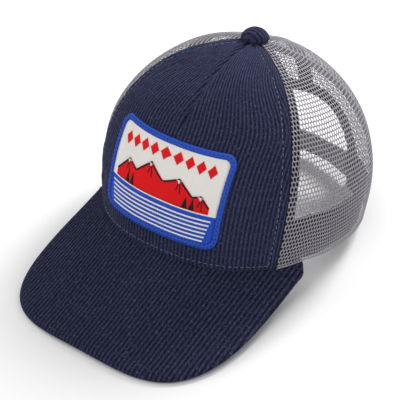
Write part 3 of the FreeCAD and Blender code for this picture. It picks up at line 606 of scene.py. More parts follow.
def make_front():
    """The front's corduroy: its ridges follow the cloth's own run, swallowed in part by the dart."""
    t_table, travel = profile_table(0.45)
    reach = np.interp(T_TOP, t_table, travel)
    lengths = np.linspace(0.0, reach, FRONT_ROWS)
    t = np.interp(lengths, travel, t_table)
    phi_table, arc = around_table(t, np.zeros(FRONT_ROWS), front_seam(t) - SEAM_GAP)
    half = arc[:, -1]
    tip = PATCH_CENTRE + PATCH_HALF_HEIGHT + 2.0
    t_dart = float(t_along(0.0, tip))
    shift = dart_shift(lengths, half, tip)
    gather = 1.0 + TOP_GATHER * smooth((lengths - tip) / (reach - tip)) ** 1.3
    step = WALE_PITCH / WALE_STEPS
    count = int((half * gather + shift).max() / step) + 2
    run = np.arange(-count, count + 1) * step
    place = np.clip((np.abs(run)[None, :] - shift[:, None]) / gather[:, None], 0.0, half[:, None])
    phi = np.stack([np.interp(place[j], arc[j], phi_table[j]) for j in range(FRONT_ROWS)])
    phi *= np.sign(run)[None, :]
    tt = np.repeat(t[:, None], len(run), 1)
    to_seam = half[:, None] - place
    up = lengths[:, None]
    from_top = reach - up
    dart = smooth((tt - t_dart) / 0.10)
    to_dart = np.where(dart > 0, place / np.maximum(dart, 0.02), 99.0)
    fade = smooth(to_seam / 1.3) * smooth(to_dart / 1.0) * smooth(up / 1.5)
    uneven = 1.0 + 0.34 * fuzz(phi.shape)
    depth = FRONT_WALE_HEIGHT * (1.0 - wale_ridge(run)[None, :] * fade * uneven)
    # turned under at the seams and the brim
    depth = depth + 0.9 * (1.0 - smooth(to_seam / 2.2)) ** 2
    depth = depth + 1.0 * (1.0 - smooth(up / 2.6)) ** 2
    # the dart's groove and the fold beside it
    depth = depth + bell(place, 1.1, 1.25 * dart)
    depth = depth - bell(place - 3.4, 2.0, 0.85 * dart)
    # drawn in under the topstitching, with a fold between it and the seam
    for line in (to_seam - SEAM_STITCH, np.where(to_seam > SEAM_STITCH, up - BRIM_STITCH, 9.0)):
        depth = depth + bell(line, 0.8, 0.38)
    depth = depth - bell(to_seam - 3.2, 1.6, 0.22)
    # puckers under the button and along the seams
    pucker = np.sin(phi * 13.0 + 1.0) * 0.55 + np.sin(phi * 23.0) * 0.3
    depth = depth + pucker * np.exp(-from_top / 13.0)
    depth = depth + bell(to_seam - 4.0, 3.0, np.sin(up / 2.9) * 0.10)
    base = crown(phi, tt)
    swell = low_waves(base, 46.0, 0.35, 3) * smooth(up / 15.0) * smooth(to_seam / 9.0)
    depth = depth - swell * (0.35 + 0.65 * smooth((np.abs(up - PATCH_CENTRE) - 26.0) / 20.0))
    outer = layer(phi, tt, np.minimum(depth, FRONT_DEEPEST))
    inner = layer(phi, tt, FRONT_INSIDE)
    uv = np.stack(np.broadcast_arrays(run[None, :] + CLOTH_OFFSET, up), -1)
    new_piece("corduroy_front", *sheet_between(outer, inner, uv), replaces=["front_panel"],
              slot="corduroy", merge=0.01)


def make_front_stitches():
    t_table, travel = profile_table(0.8)
    up = np.linspace(BRIM_STITCH, np.interp(T_TOP, t_table, travel) - 8.5, 150)
    t = np.interp(up, travel, t_table)
    parts = []
    for side, _ in SIDES:
        phi = side * (front_seam(t) - angle_for(SEAM_STITCH, t))
        parts += stitch_row(phi, t, STITCH_DEPTH, radius=0.18, sink=0.35)
    low = np.array(0.03)
    reach = float(front_seam(low) - angle_for(SEAM_STITCH, low))
    phi = np.linspace(-reach, reach, 200)
    t = t_at_length(phi, BRIM_STITCH)
    parts += stitch_row(phi, t, STITCH_DEPTH, radius=0.15, sink=0.35)
    new_piece("front_topstitching", *join_parts(parts), slot="corduroy", material="topstitch")


# ---- mesh panels ----
def inside_arch(x, z, grow):
    half, top = ARCH_HALF_WIDTH + grow, ARCH_TOP + grow
    curve = (np.abs(x) / half) ** ARCH_POWER + (np.maximum(z, 0.0) / top) ** ARCH_POWER
    return curve < 1.0


def lattice(phi_low, phi_high, phi_grain, arch=False):
    """Points and faces of knitted mesh between two seams: rows of staggered oval holes."""
    table_t, travel = profile_table(phi_grain)
    reach = float(np.interp(T_TOP, table_t, travel))
    rows = int(round(reach / MESH_ROW))
    pitch_v = reach / rows

    def locate(w, v):
        """phi, t and signed clearance to the seams for places w across and v up."""
        t = np.interp(v, travel, table_t)
        unique, back = np.unique(np.round(t, 7), return_inverse=True)
        low, high = phi_low(unique), phi_high(unique)
        grain = low + (high - low) * phi_share
        phis, arcs = around_table(unique, low, high, 61)
        out = np.zeros(len(w))
        gap = np.zeros(len(w))
        for k in range(len(unique)):
            sel = back == k
            zero = np.interp(grain[k], phis[k], arcs[k])
            place = np.clip(w[sel] + zero, 0.0, arcs[k, -1])
            out[sel] = np.interp(place, arcs[k], phis[k])
            gap[sel] = np.minimum(w[sel] + zero, arcs[k, -1] - w[sel] - zero)
        return out, t, gap

    low0, high0 = float(phi_low(np.array([0.0]))[0]), float(phi_high(np.array([0.0]))[0])
    phi_share = (phi_grain - low0) / (high0 - low0)
    span = int(MESH_REACH / MESH_PITCH)
    index = {}
    points_wv = []

    def vertex(w, v):
        key = (round(w * 1000), round(v * 1000))
        if key not in index:
            index[key] = len(points_wv)
            points_wv.append((w, v))
        return index[key]

    stagger = MESH_STAGGER * MESH_PITCH
    centres = np.array([(i * MESH_PITCH + (stagger if j % 2 else -stagger), (j + 0.5) * pitch_v)
                        for j in range(rows) for i in range(-span, span + 1)])
    phi_c, t_c, gap_c = locate(centres[:, 0], centres[:, 1])
    keep = gap_c > -0.5 * MESH_PITCH
    if arch:
        place = crown(phi_c, t_c)
        keep &= ~inside_arch(place[:, 0], place[:, 2], MESH_ARCH_GAP)
    corners = [(1, 0), (1, 1), (0, 1), (-1, 1), (-1, 0), (-1, -1), (0, -1), (1, -1)]
    faces = []
    for (w, v), gap in zip(centres[keep], gap_c[keep]):
        ring = []
        rim = []
        for k, (dx, dy) in enumerate(corners):
            ring.append(vertex(w + dx * MESH_PITCH / 2.0, v + dy * pitch_v / 2.0))
            angle = k * math.pi / 4.0
            rim.append(vertex(w + HOLE_WIDE * math.cos(angle), v + HOLE_TALL * math.sin(angle)))
        for k in range(8):
            n = (k + 1) % 8
            faces.append([ring[k], ring[n], rim[n], rim[k]])
        if gap < -0.25 * MESH_PITCH:   # squeezed shut against the seam
            faces.append(rim)
    wv = np.array(points_wv)
    phi, t, _ = locate(wv[:, 0], wv[:, 1])
    return phi, t, faces


def seam_roll(phi, t, offset, half_width, depth, thickness):
    """Turned-in edge of a panel: a flat rounded cord beside a seam."""
    sections = []
    for a in turn_angles(10):
        shift = angle_for(offset + half_width * math.cos(a), t)
        sections.append(layer(phi + shift, t, depth - thickness * math.sin(a)))
    return swept(np.stack(sections, 1))


def straight(angle):
    """A seam that stays at one angle all the way up."""
    return lambda t: np.full(np.shape(t), angle)


def make_mesh_panels():
    side_seam = math.radians(SIDE_SEAM)
    t_rows = t_along(math.pi / 2.0, np.linspace(0.0, 170.0, 120))
    t_rows = np.unique(np.clip(t_rows, 0.0, T_TOP))
    spans = (("side", lambda t: front_seam(t) + SEAM_GAP, straight(side_seam - SEAM_GAP),
              math.radians(80.0), False),
             ("back", straight(side_seam + SEAM_GAP), straight(math.pi - SEAM_GAP),
              math.radians(146.0), True))
    for side, word in SIDES:
        for kind, low, high, grain, arch in spans:
            phi, t, faces = lattice(low, high, grain, arch)
            base = crown(side * phi, t)
            swell = low_waves(base, 52.0, 0.45, 11) * smooth(t / 0.2)
            points = layer(side * phi, t, MESH_DEPTH - swell * MESH_SWELL)
            if side < 0:
                faces = [f[::-1] for f in faces]
            name = kind + "_mesh_" + word
            piece = new_piece("knit_" + name, points, faces, replaces=[name], slot="mesh", merge=0.02)
            thick = piece.modifiers.new("thick", "SOLIDIFY")
            thick.thickness = MESH_THICKNESS * 0.001
            thick.offset = -1.0
            apply_modifiers(piece)
        rolls = [seam_roll(side * side_seam, t_rows, side * offset, 0.55, 0.35, 0.38)
                 for offset in (-0.6, 0.6)]
        above = t_rows[crown(math.pi, t_rows)[:, 2] > ARCH_TOP + 3.0]
        rolls.append(seam_roll(side * math.pi, above, -side * 0.85, 0.8, 0.35, 0.42))
        new_piece("mesh_seam_folds_" + word, *join_parts(rolls), slot="mesh")


def make_rim_hem():
    """Turned-up lower edge of the mesh, from brim tail to back opening on each side."""
    phi = np.linspace(float(front_seam(np.array(0.0))) + 0.01, math.radians(148.0), 140)
    for side, word in SIDES:
        sections = []
        for angle in turn_angles(12):
            t = t_at_length(phi, 0.75 + 0.7 * math.sin(angle))
            sections.append(layer(side * phi, t, 0.30 - 0.36 * math.cos(angle)))
        new_piece("mesh_hem_" + word, *swept(np.stack(sections, 1)), slot="mesh")


# ---- tapes, band, binding ----
def tape_strip(phi, t, depth):
    """Flat tape along a seam: thicker folded edges and a low middle."""
    across = np.array([-1.0, -0.96, -0.80, -0.72, 0.0, 0.72, 0.80, 0.96, 1.0])
    lift = np.array([0.5, 0.95, 1.0, 0.7, 0.62, 0.7, 1.0, 0.95, 0.5])
    outline = [(share, 0.0) for share in across] + list(zip(across[::-1], lift[::-1]))
    sections = [layer(phi + angle_for(share * TAPE_HALF_WIDTH, t), t, depth + TAPE_THICKNESS * level)
                for share, level in outline]
    return swept(np.stack(sections, 1))


def make_tapes():
    low_band = float(t_along(math.pi / 2.0, BAND_HEIGHT - 8.0))
    arch_t = float(back_place(np.array([0.0]), np.array([ARCH_TOP + BINDING_WIDTH - 1.0]))[1][0])
    dart_low = float(t_along(0.0, 70.0))
    seams = [("dart_tape", straight(0.0), dart_low, TAPE_DEPTHS["dart"])]
    for side, word in SIDES:
        seams.append(("front_seam_tape_" + word, lambda t, s=side: s * front_seam(t), low_band,
                      TAPE_DEPTHS["front"]))
        seams.append(("side_seam_tape_" + word, straight(side * math.radians(SIDE_SEAM)), low_band,
                      TAPE_DEPTHS["mesh"]))
    seams.append(("back_seam_tape", straight(math.pi), arch_t, TAPE_DEPTHS["mesh"]))
    t_table, travel = profile_table(1.4)
    for name, place, t_low, depth in seams:
        lengths = np.linspace(np.interp(t_low, t_table, travel), np.interp(T_TOP, t_table, travel), 90)
        t = np.interp(lengths, travel, t_table)
        new_piece("cloth_" + name, *tape_strip(place(t), t, depth), replaces=[name], slot="tape")
        parts = []
        for offset in (-TAPE_STITCH, TAPE_STITCH):
            parts += stitch_row(place(t) + angle_for(offset, t), t, depth + 0.62, -1.0,
                                length=2.2, gap=1.0, radius=0.2)
        new_piece(name + "_stitches", *join_parts(parts), slot="tape", material="navy")


def make_backing():
    rows, columns = 60, 90
    t = np.linspace(0.02, T_TOP, rows)
    edge = front_seam(t) - angle_for(1.5, t)
    share = np.linspace(-1.0, 1.0, columns)
    phi = edge[:, None] * share
    tt = np.repeat(t[:, None], columns, 1)
    outer = layer(phi, tt, BACKING_OUTSIDE)
    inner = layer(phi, tt, BACKING_INSIDE + low_waves(outer, 20.0, 0.08, 5))
    new_piece("felt_front_backing", *sheet_between(outer, inner), replaces=["front_backing"],
              slot="backing", material="felt")


def make_sweatband():
    """Face and foam as one soft tube, from one side of the back opening round to the other."""
    opening_side, _ = back_place(np.array([ARCH_HALF_WIDTH + 2.6]), np.array([9.5]))
    stop = float(opening_side[0])
    phi = np.linspace(-stop, stop, 360)
    drop = BAND_DROP * smooth((np.cos(phi) - 0.42) / 0.25)
    profile = [(0.0, 3.2), (0.25, 3.2), (0.6, 3.2), (0.93, 3.25), (0.985, 3.5), (1.0, 4.2), (0.985, 4.9),
               (0.95, 5.25), (0.80, 5.4), (0.5, 5.45), (0.22, 5.35), (0.13, 4.95), (0.10, 4.75),
               (0.07, 5.0), (0.02, 5.1), (0.0, 4.9)]
    sections = []
    t_high = np.array([np.interp(BAND_HEIGHT, *[v for v in profile_table(p, 300)][::-1]) for p in phi])
    for share, depth in profile:
        t = share * t_high
        ripple = 0.10 * np.sin(phi * 61.0) * smooth((share - 0.05) / 0.1) * smooth((1.02 - share) / 0.1)
        wave = low_waves(crown(phi, t), 30.0, 0.12, 9)
        point = layer(phi, t, depth + (ripple + wave) * (depth > 4.3))
        point[:, 2] -= drop * (1.0 - smooth(share))
        sections.append(point)
    band = new_piece("cloth_sweatband", *swept(np.stack(sections, 1)), slot="sweatband", material="band",
                     replaces=["sweatband_face", "sweatband_pad"])
    t = BAND_STITCH * t_high
    path = layer(phi, t, BAND_STITCH_DEPTH)
    path[:, 2] -= drop * (1.0 - smooth(BAND_STITCH))
    parts = stitch_parts(path, -crown_normal(phi, t), 2.6, 1.2, 0.25)
    new_piece("sweatband_stitches", *join_parts(parts), slot="sweatband", material="navy")


def arch_path(grow, samples=150, low=-4.6):
    """Places along the back opening's edge, grown outwards, from left rim over to right rim."""
    angle = np.linspace(0.0, math.pi, samples)
    x = (ARCH_HALF_WIDTH + grow) * power(np.cos(angle), 2.0 / ARCH_POWER)
    z = (ARCH_TOP + grow) * np.sin(angle) ** (2.0 / ARCH_POWER)
    legs = np.linspace(low, 0.0, 8)[:-1]
    x = np.concatenate([np.full(7, ARCH_HALF_WIDTH + grow), x, np.full(7, -ARCH_HALF_WIDTH - grow)])
    z = np.concatenate([legs, z, legs[::-1]])
    return back_place(x, z)


def make_binding():
    profile = [(-0.7, 0.5), (-0.55, -0.2), (0.2, -0.62), (2.0, -0.72), (6.0, -0.72), (7.6, -0.7),
               (8.4, -0.5), (8.5, -0.1), (6.0, -0.1), (1.0, -0.05), (0.55, 0.5), (1.0, 1.1), (6.0, 1.15),
               (8.5, 1.15), (8.4, 1.6), (7.6, 1.85), (6.0, 1.85), (2.0, 1.85), (0.2, 1.7), (-0.55, 1.2)]
    sections = [layer(*arch_path(grow), depth) for grow, depth in profile]
    new_piece("cloth_arch_binding", *swept(np.stack(sections, 1)), replaces=["arch_binding"],
              slot="tape")
    parts = []
    for depth, out in ((-0.68, 1.0), (1.8, -1.0)):
        for grow in (1.3, 7.2):
            parts += stitch_row(*arch_path(grow), depth, out, length=2.2, gap=1.1)
    new_piece("binding_stitches", *join_parts(parts), slot="tape", material="navy")


# ---- brim ----
def brim_front_edge(x):
    inside = np.clip(1.0 - (np.abs(x) / BRIM_HALF_WIDTH) ** BRIM_POWER_X, 0.0, 1.0)
    return TAIL_XY[1] - BRIM_TAIL_RUN - BRIM_REACH * inside ** (1.0 / BRIM_POWER_Y)


def brim_rear_edge(x):
    """Crown side of the brim: under the crown's edge, then along the free tail."""
    scale = 1.0 - 2.2 / HALF_LENGTH
    p = OPENING_POWER["front"]
    inside = np.clip(1.0 - (np.abs(x) / (HALF_WIDTH * scale)) ** p, 0.0, 1.0)
    tucked = -HALF_LENGTH * scale * inside ** (1.0 / p)
    share = np.clip((np.abs(x) - TAIL_XY[0]) / (BRIM_HALF_WIDTH - TAIL_XY[0]), 0.0, 1.0)
    tail = TAIL_XY[1] - BRIM_TAIL_RUN * share
    return np.where(np.abs(x) > TAIL_XY[0] * scale, tail, np.minimum(tucked, TAIL_XY[1]))


def edge_distance(x, y):
    """Distance in plan to the brim's free edge."""
    angle = np.linspace(0.0, math.pi / 2.0, 500)
    ex = BRIM_HALF_WIDTH * np.cos(angle) ** (2.0 / BRIM_POWER_X)
    ey = TAIL_XY[1] - BRIM_TAIL_RUN - BRIM_REACH * np.sin(angle) ** (2.0 / BRIM_POWER_Y)
    middle = np.linspace(0.0, 0.8 * BRIM_HALF_WIDTH, 300)
    ex = np.concatenate([np.linspace(TAIL_XY[0], BRIM_HALF_WIDTH, 40), ex, middle])
    ey = np.concatenate([np.linspace(TAIL_XY[1], TAIL_XY[1] - BRIM_TAIL_RUN, 40), ey,
                         brim_front_edge(middle)])
    edge = np.stack([ex, ey], -1)
    out = np.zeros(x.size)
    flat = np.stack([np.abs(x).ravel(), y.ravel()], -1)
    for start in range(0, len(flat), 4000):
        block = flat[start:start + 4000]
        gap = np.linalg.norm(block[:, None] - edge[None], axis=2)
        out[start:start + 4000] = gap.min(1)
    return out.reshape(x.shape)


def make_brim():
    step = WALE_PITCH / WALE_STEPS
    count = int(BRIM_HALF_WIDTH / step)
    columns = np.concatenate([[-BRIM_HALF_WIDTH + 0.05], np.arange(-count, count + 1) * step,
                              [BRIM_HALF_WIDTH - 0.05]])
    share = np.linspace(0.0, 1.0, BRIM_ROWS)
    share = np.concatenate([share[:-1], 1.0 - np.array([0.006, 0.003, 0.0012, 0.0])])
    rear, front = brim_rear_edge(columns), brim_front_edge(columns)
    y = rear[None, :] + (front - rear)[None, :] * share[:, None]
    x = np.broadcast_to(columns[None, :], y.shape)
    middle = (BRIM_TOP + BRIM_BOTTOM) / 2.0
    gap = edge_distance(x, y)
    radius = (BRIM_TOP - BRIM_BOTTOM) / 2.0
    roll = radius - np.sqrt(np.clip(radius ** 2 - np.clip(radius - gap, 0.0, radius) ** 2, 0.0, None))
    ridge = WALE_HEIGHT * wale_ridge(x) * smooth(gap / 2.6) * (1.0 + 0.25 * fuzz(x.shape))
    base = brim_height(x, y)
    place = np.stack([x, y, base], -1)
    swell = low_waves(place, 60.0, 0.25, 21) * smooth(gap / 8.0)
    puff = bell(gap - 5.0, 3.0, 0.25)
    uv = np.stack([x + CLOTH_OFFSET, -y], -1)
    for name, side, node in (("corduroy_brim_top", 1, "brim_top_cover"),
                             ("corduroy_brim_under", -1, "brim_under_cover")):
        level = (BRIM_TOP if side > 0 else BRIM_BOTTOM) - side * (roll + WALE_HEIGHT * 0.6)
        height = base + level + side * (ridge + puff) + swell * 0.5
        outer = np.stack([x, y, height], -1)
        inner = np.stack([x, y, base + middle + side * 0.03], -1)
        points, faces, cloth = sheet_between(outer, inner, uv)
        # the brim uses the darker copy of the corduroy, which is painted shade
        new_piece(name, points, faces[:, ::-side], cloth, replaces=[node], slot="corduroy",
                  material="brim_corduroy", merge=0.01)


# ---- patch ----
PATCH_T, PATCH_TRAVEL = profile_table(0.0)
PATCH_RADIUS_T = np.linspace(0.0, 0.9, 200)
PATCH_RADIUS = np.hypot(*crown(np.full(200, 0.35), PATCH_RADIUS_T)[:, :2].T)


def patch_points(across, up, rise):
    """Worn places on the patch: across and up from its centre, rise out of the cloth."""
    across, up = np.asarray(across, float), np.asarray(up, float)
    along = PATCH_CENTRE + across * math.sin(PATCH_TILT) + up * math.cos(PATCH_TILT)
    sideways = PATCH_SHIFT + across * math.cos(PATCH_TILT) - up * math.sin(PATCH_TILT)
    t = np.interp(along, PATCH_TRAVEL, PATCH_T)
    phi = sideways / np.interp(t, PATCH_RADIUS_T, PATCH_RADIUS) * 1.02
    return layer(phi, t, -np.asarray(rise, float))


def rounded_outline(inset, spacing=0.7):
    """Rounded rectangle as evenly spaced places with outward directions."""
    radius = PATCH_CORNER - inset
    wide, tall = PATCH_HALF_WIDTH - PATCH_CORNER, PATCH_HALF_HEIGHT - PATCH_CORNER
    places, outward = [], []
    for k, (sa, sb) in enumerate(((1, 1), (-1, 1), (-1, -1), (1, -1))):
        corner_steps = max(int(radius * math.pi / 2.0 / spacing), 4)
        for i in range(corner_steps):
            angle = math.radians(90.0 * (k + i / corner_steps))
            outward.append((math.cos(angle), math.sin(angle)))
            places.append((sa * wide + radius * math.cos(angle), sb * tall + radius * math.sin(angle)))
        run = 2.0 * (wide if k % 2 == 0 else tall)
        steps = int(run / spacing)
        angle = math.radians(90.0 * (k + 1))
        for i in range(steps):
            along = 1.0 - 2.0 * i / steps
            outward.append((math.cos(angle), math.sin(angle)))
            if k % 2 == 0:
                places.append((sa * wide * along, sb * (tall + radius)))
            else:
                places.append((sa * (wide + radius), sb * tall * along))
    return np.array(places), np.array(outward)


def make_patch_base():
    wide, tall = PATCH_HALF_WIDTH - 0.8, PATCH_HALF_HEIGHT - 0.8
    aa, bb = np.meshgrid(np.linspace(-1.0, 1.0, 60) * wide, np.linspace(-1.0, 1.0, 42) * tall)
    over_a = np.clip(np.abs(aa) - (wide - PATCH_CORNER), 0.0, None)
    over_b = np.clip(np.abs(bb) - (tall - PATCH_CORNER), 0.0, None)
    reach = np.maximum(np.hypot(over_a, over_b), 1e-6)
    square = np.maximum(over_a, over_b)
    pull = np.where((over_a > 0) & (over_b > 0), square / reach, 1.0)
    aa = np.sign(aa) * (np.abs(aa) - over_a + over_a * pull)
    bb = np.sign(bb) * (np.abs(bb) - over_b + over_b * pull)
    plate = sheet_between(patch_points(aa, bb, TWILL_RISE), patch_points(aa, bb, 0.2))
    new_piece("twill_patch_base", *plate, replaces=["patch_base"], slot="patch_twill", material="white")


def make_patch_border():
    """Overlocked edge: thread wrapped round the rim in close slanting turns."""
    spacing, thread_width = 0.28, 1.45
    places, outward = rounded_outline(BORDER_WIDTH / 2.0, spacing)
    n = len(places)
    turns = round(n * spacing / thread_width)
    sections = []
    for a in turn_angles(14):
        wrap = np.arange(n) / n * 2.0 * math.pi * turns + a * 0.8
        thread = 0.38 * np.abs(np.cos(wrap / 2.0)) ** 0.6
        side = (BORDER_WIDTH / 2.0 + thread) * math.cos(a)
        rise = 0.95 + (1.0 + thread) * math.sin(a) * (1.0 if math.sin(a) > 0 else 0.7)
        p = places + outward * side[:, None]
        sections.append(patch_points(p[:, 0], p[:, 1], rise))
    new_piece("thread_patch_border", *swept(np.stack(sections, 1), closed=True),
              replaces=["patch_border"], slot="patch_border", material="border")
    chain, outward = rounded_outline(BORDER_WIDTH / 2.0, 0.8)
    for inset, length, gap, rise in ((-0.35, 0.9, 1.9, 2.02), (1.45, 0.9, 1.6, 1.55)):
        p = chain - outward * inset
        p = np.concatenate([p, p[:1]])
        path = patch_points(p[:, 0], p[:, 1], rise)
        normal = unit(path - patch_points(p[:, 0], p[:, 1], rise - 1.0))
        parts = stitch_parts(path, normal, length, gap, 0.34)
        new_piece("border_chain_%d" % round(rise * 100), *join_parts(parts), slot="patch_border",
                  material="border_chain")


def inside_spans(outline, level):
    """Stretches of a horizontal line that lie inside a polygon."""
    cuts = []
    for (a0, b0), (a1, b1) in zip(outline, outline[1:] + outline[:1]):
        if (b0 <= level) != (b1 <= level):
            cuts.append(a0 + (a1 - a0) * (level - b0) / (b1 - b0))
    cuts.sort()
    return list(zip(cuts[::2], cuts[1::2]))


def thread_rows(outline, pitch, rise, height, upright=False, jitter=0.12):
    """Embroidery fill: one low rounded ridge of thread per row."""
    if upright:
        outline = [(b, a) for a, b in outline]
    low, high = min(b for _, b in outline), max(b for _, b in outline)
    rows = max(int(round((high - low) / pitch)), 1)
    pitch = (high - low) / rows
    shape = [(-0.5, -0.35), (-0.34, 0.65), (0.0, 1.0), (0.34, 0.65), (0.5, -0.35)]
    parts = []
    for r in range(rows):
        level = low + (r + 0.5) * pitch
        for start, end in inside_spans(outline, level):
            start += random.uniform(-jitter, jitter)
            end += random.uniform(-jitter, jitter)
            if end - start < 0.35:
                continue
            steps = max(int((end - start) / 2.4), 1) + 2
            along = np.linspace(start, end, steps)
            tip = smooth(np.minimum(along - start, end - along) / 0.35) * 0.75 + 0.25
            lift = height * (1.0 + random.uniform(-0.12, 0.12))
            sections = []
            for offset, level_share in shape:
                across = np.full(steps, level + offset * pitch * 1.06)
                up = rise + lift * level_share * tip
                a, b = (across, along) if upright else (along, across)
                sections.append(patch_points(a, b, up))
            parts.append(swept(np.stack(sections, 1)))
    return parts


def field_outline(low, high):
    """The patch's inner outline cut off below one level and above another."""
    places, _ = rounded_outline(BORDER_WIDTH + 0.1, 1.2)
    return [(float(a), float(min(max(b, low), high))) for a, b in places]


HILLS = [(-37.0, -8.0), (-37.0, -3.0), (-26.0, 8.0), (-18.0, 3.5), (-7.0, 13.0), (3.0, 4.5),
         (13.0, 9.5), (24.0, 1.0), (30.0, 3.0), (37.0, -3.5), (37.0, -8.0)]
TREE_PLACES = (-24.0, -19.5, 20.0, 25.0)


def make_embroidery():
    """Two fields of thread, with hills, stripes, diamonds and trees on them."""
    def piece(name, colour, parts, *nodes):
        new_piece("thread_" + name, *join_parts(parts), replaces=nodes, slot="thread_" + colour,
                  material=colour)

    piece("upper_field", "white", thread_rows(field_outline(HORIZON, 40.0), 0.62, FIELD_RISE, 0.22),
          "patch_upper_field")
    piece("lower_field", "blue", thread_rows(field_outline(-40.0, HORIZON), 0.62, FIELD_RISE, 0.24),
          "patch_lower_field")
    piece("hills", "red", thread_rows(HILLS, 0.55, MOTIF_RISE, 0.34, upright=True), "patch_hills")
    diamonds = []
    for i in range(9):
        across = 8.2 * (i - 4)
        up = 21.0 - 0.0022 * across ** 2
        diamonds += thread_rows([(across - 3.5, up), (across, up - 4.3), (across + 3.5, up),
                                 (across, up + 4.3)], 0.55, MOTIF_RISE, 0.34, upright=True)
    piece("diamonds", "red", diamonds, "patch_diamonds")
    stripes = []
    for i in range(6):
        up = HORIZON - 3.2 - 2.75 * i
        half = PATCH_HALF_WIDTH - BORDER_WIDTH - 3.3 - 0.7 * i
        stripes += thread_rows([(-half, up - 0.55), (half, up - 0.55), (half, up + 0.55),
                                (-half, up + 0.55)], 0.5, MOTIF_RISE, 0.26, upright=True, jitter=0.06)
    piece("stripes", "white", stripes, "patch_stripes")
    trees = []
    for across in TREE_PLACES:
        foot = HORIZON + 1.5
        trees += thread_rows([(across - 2.1, foot), (across + 2.1, foot), (across, foot + 8.0)],
                             0.5, 1.8, 0.3, jitter=0.15)
    piece("trees", "black", trees, "patch_trees")
    make_ridge_lines(piece)


def make_ridge_lines(piece):
    """Dark outline along the hills' tops, short shade lines below the peaks, and white caps."""
    ridges, caps = [], []
    for (a0, b0), (a1, b1) in zip(HILLS[1:-1], HILLS[2:-1]):
        away = unit(np.array([-(b1 - b0), a1 - a0]))
        ridges += thread_rows([(a0, b0), (a1, b1), (a1 - away[0] * 1.1, b1 - away[1] * 1.1),
                               (a0 - away[0] * 1.1, b0 - away[1] * 1.1)], 0.5, LINE_RISE, 0.3,
                              upright=True)
    for k in (2, 4, 6, 8):
        (a0, b0), (a, b), (a1, b1) = HILLS[k - 1:k + 2]
        left, right = 3.6 / math.hypot(a - a0, b - b0), 3.6 / math.hypot(a1 - a, b1 - b)
        low_left = (a + (a0 - a) * left, b + (b0 - b) * left)
        low_right = (a + (a1 - a) * right, b + (b1 - b) * right)
        for lean, drop in ((1.9, 6.5), (-1.3, 4.6)):
            foot_a, foot_b = a + lean, max(b - 3.4 - drop, HORIZON + 1.6)
            if b - 3.4 - foot_b > 1.0:
                ridges += thread_rows([(a + 0.3 * lean, b - 3.4), (a + 0.3 * lean + 0.7, b - 3.4),
                                       (foot_a + 0.7, foot_b), (foot_a, foot_b)], 0.45, DETAIL_RISE,
                                      0.28)
        caps += thread_rows([low_left, (a - 0.9, b - 2.0), (a, b - 3.6), (a + 1.0, b - 2.0), low_right,
                             (a, b)], 0.5, DETAIL_RISE, 0.3, upright=True)
    piece("ridge_lines", "black", ridges)
    piece("ridge_caps", "white", caps)


# ---- button, straps ----
def make_button():
    """Cloth drawn over the button: pleated under its edge, a shallow ball above."""
    angle = turn_angles(120)
    seat = CROWN_HEIGHT + APEX_PEAK + 0.15
    corner = 2.4
    rise = BUTTON_HEIGHT - corner
    ball = (BUTTON_RADIUS ** 2 + rise ** 2) / (2.0 * rise)
    profile = [(3.0, -0.6), (BUTTON_RADIUS - 1.8, -0.75), (BUTTON_RADIUS - 0.6, -0.35),
               (BUTTON_RADIUS, 0.7), (BUTTON_RADIUS + 0.1, 1.7)]
    for share in np.linspace(0.97, 0.02, 29):
        radius = BUTTON_RADIUS * share
        profile.append((radius, BUTTON_HEIGHT - ball + math.sqrt(ball ** 2 - radius ** 2)))
    sections = []
    for k, (radius, height) in enumerate(profile):
        pleat = 0.22 * np.sin(angle * 17.0 + 0.7 * np.sin(angle * 3.0)) * (k < 6) * min(k, 5) / 5.0
        x, y = (radius + pleat) * np.cos(angle), (radius + pleat) * np.sin(angle)
        top = smooth((height - 0.8) / 2.0)
        ridge = WALE_HEIGHT * (wale_ridge(y * BUTTON_STRETCH + BUTTON_SHIFT) - 0.5) * top
        sections.append(np.stack([x * (1 + ridge / 25.0), y, seat + height + ridge], -1))
    stack = np.stack(sections, 0)
    stack[..., 1] += APEX_BACK
    points, faces = swept(stack)
    run = points[:, 1] * BUTTON_STRETCH + BUTTON_SHIFT - APEX_BACK * BUTTON_STRETCH + CLOTH_OFFSET
    new_piece("corduroy_button", points, faces, np.stack([run, points[:, 0]], -1),
              replaces=["button_cover"], slot="corduroy")


def make_straps():
    """The moulded straps: the CAD shapes with their edges rounded over."""
    for node in ("hole_strap", "peg_strap", "hole_strap_root", "peg_strap_root"):
        body = "crown" if node.endswith("root") else node
        mesh = frame["nodes"][node].data.copy()
        mesh.name = "moulded_" + node
        piece = add_object("moulded_" + node, mesh)
        work = bmesh.new()
        work.from_mesh(mesh)
        bmesh.ops.remove_doubles(work, verts=work.verts, dist=1e-6)
        work.to_mesh(mesh)
        work.free()
        bevel = piece.modifiers.new("round", "BEVEL")
        bevel.width = STRAP_ROUNDING
        bevel.segments = 2
        bevel.limit_method = "ANGLE"
        bevel.angle_limit = math.radians(40.0)
        apply_modifiers(piece)
        piece.data.materials.clear()
        piece.data.materials.append(MATERIALS["strap"])
        piece.data.shade_smooth()
        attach(piece, body)
        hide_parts(node)


def dress_cad_nodes():
    """Looks of the CAD pieces that are shown as they are."""
    for node, material in (("brim_board", "board"), ("button_shell", "steel"), ("button_rivet", "steel"),
                           ("button_washer", "steel")):
        mesh = frame["nodes"][node].data
        mesh.materials.clear()
        mesh.materials.append(MATERIALS[material])


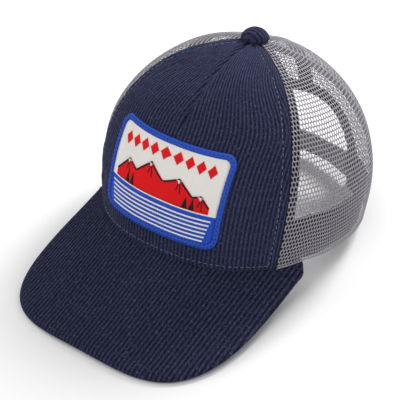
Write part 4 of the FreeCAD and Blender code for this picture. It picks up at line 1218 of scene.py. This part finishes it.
# ---- floor, light, camera ----
def make_stage():
    """Pale floor, even white surroundings and four soft lamps."""
    scene = bpy.context.scene
    mesh = bpy.data.meshes.new("floor")
    size = 6.0
    mesh.from_pydata([(-size, -size, 0), (size, -size, 0), (size, size, 0), (-size, size, 0)], [],
                     [(0, 1, 2, 3)])
    floor = add_object("floor", mesh)
    m = Nodes("pale_floor", roughness=0.6, Specular_IOR_Level=0.2)
    m.colour(m.mix(m.noise(3.0, m.place()), (0.86, 0.86, 0.865), (0.88, 0.88, 0.885)))
    mesh.materials.append(m.material)
    scene.world = bpy.data.worlds.new("studio")
    scene.world.use_nodes = True
    background = scene.world.node_tree.nodes["Background"].inputs
    background["Color"].default_value = (1.0, 1.0, 1.0, 1.0)
    background["Strength"].default_value = 0.46
    lights = [("key", (0.12, 1.10, 0.95), 0.45, 16.5), ("front", (0.15, -0.85, 1.3), 1.0, 6.2),
              ("side", (-0.85, -0.05, 1.1), 0.8, 3.2), ("low", (1.1, -0.5, 0.45), 0.6, 1.8)]
    for name, place, width, watts in lights:
        lamp = bpy.data.lights.new(name, "AREA")
        lamp.energy = watts
        lamp.size = width
        lamp.shape = "DISK"
        obj = add_object(name, lamp)
        obj.location = place
        aim = Vector((0.0, 0.02, 0.05)) - Vector(place)
        obj.rotation_euler = aim.to_track_quat("-Z", "Y").to_euler()
    scene.view_settings.view_transform = "Standard"
    scene.view_settings.look = "None"


def make_camera():
    """Camera at the reference view: from the wearer's front left, well above."""
    azimuth, height, roll = math.radians(36.61), math.radians(36.10), math.radians(-1.27)
    distance, lens = 0.7336, 88.65
    target = Vector((-0.0337, 0.0378, -0.0011))
    back = Vector((math.sin(azimuth) * math.cos(height), -math.cos(azimuth) * math.cos(height),
                   math.sin(height)))
    camera = bpy.data.cameras.new("camera")
    camera.lens = lens
    camera.sensor_width = 36.0
    obj = add_object("camera", camera)
    obj.location = target + back * distance
    turn = (-back).to_track_quat("-Z", "Y").to_matrix().to_4x4()
    obj.matrix_world = Matrix.Translation(obj.location) @ turn @ Matrix.Rotation(roll, 4, "Z")
    bpy.context.scene.camera = obj


make_camera()
make_stage()
make_front()
make_front_stitches()
make_mesh_panels()
make_rim_hem()
make_tapes()
make_backing()
make_sweatband()
make_binding()
make_brim()
make_patch_base()
make_patch_border()
make_embroidery()
make_button()
make_straps()
dress_cad_nodes()
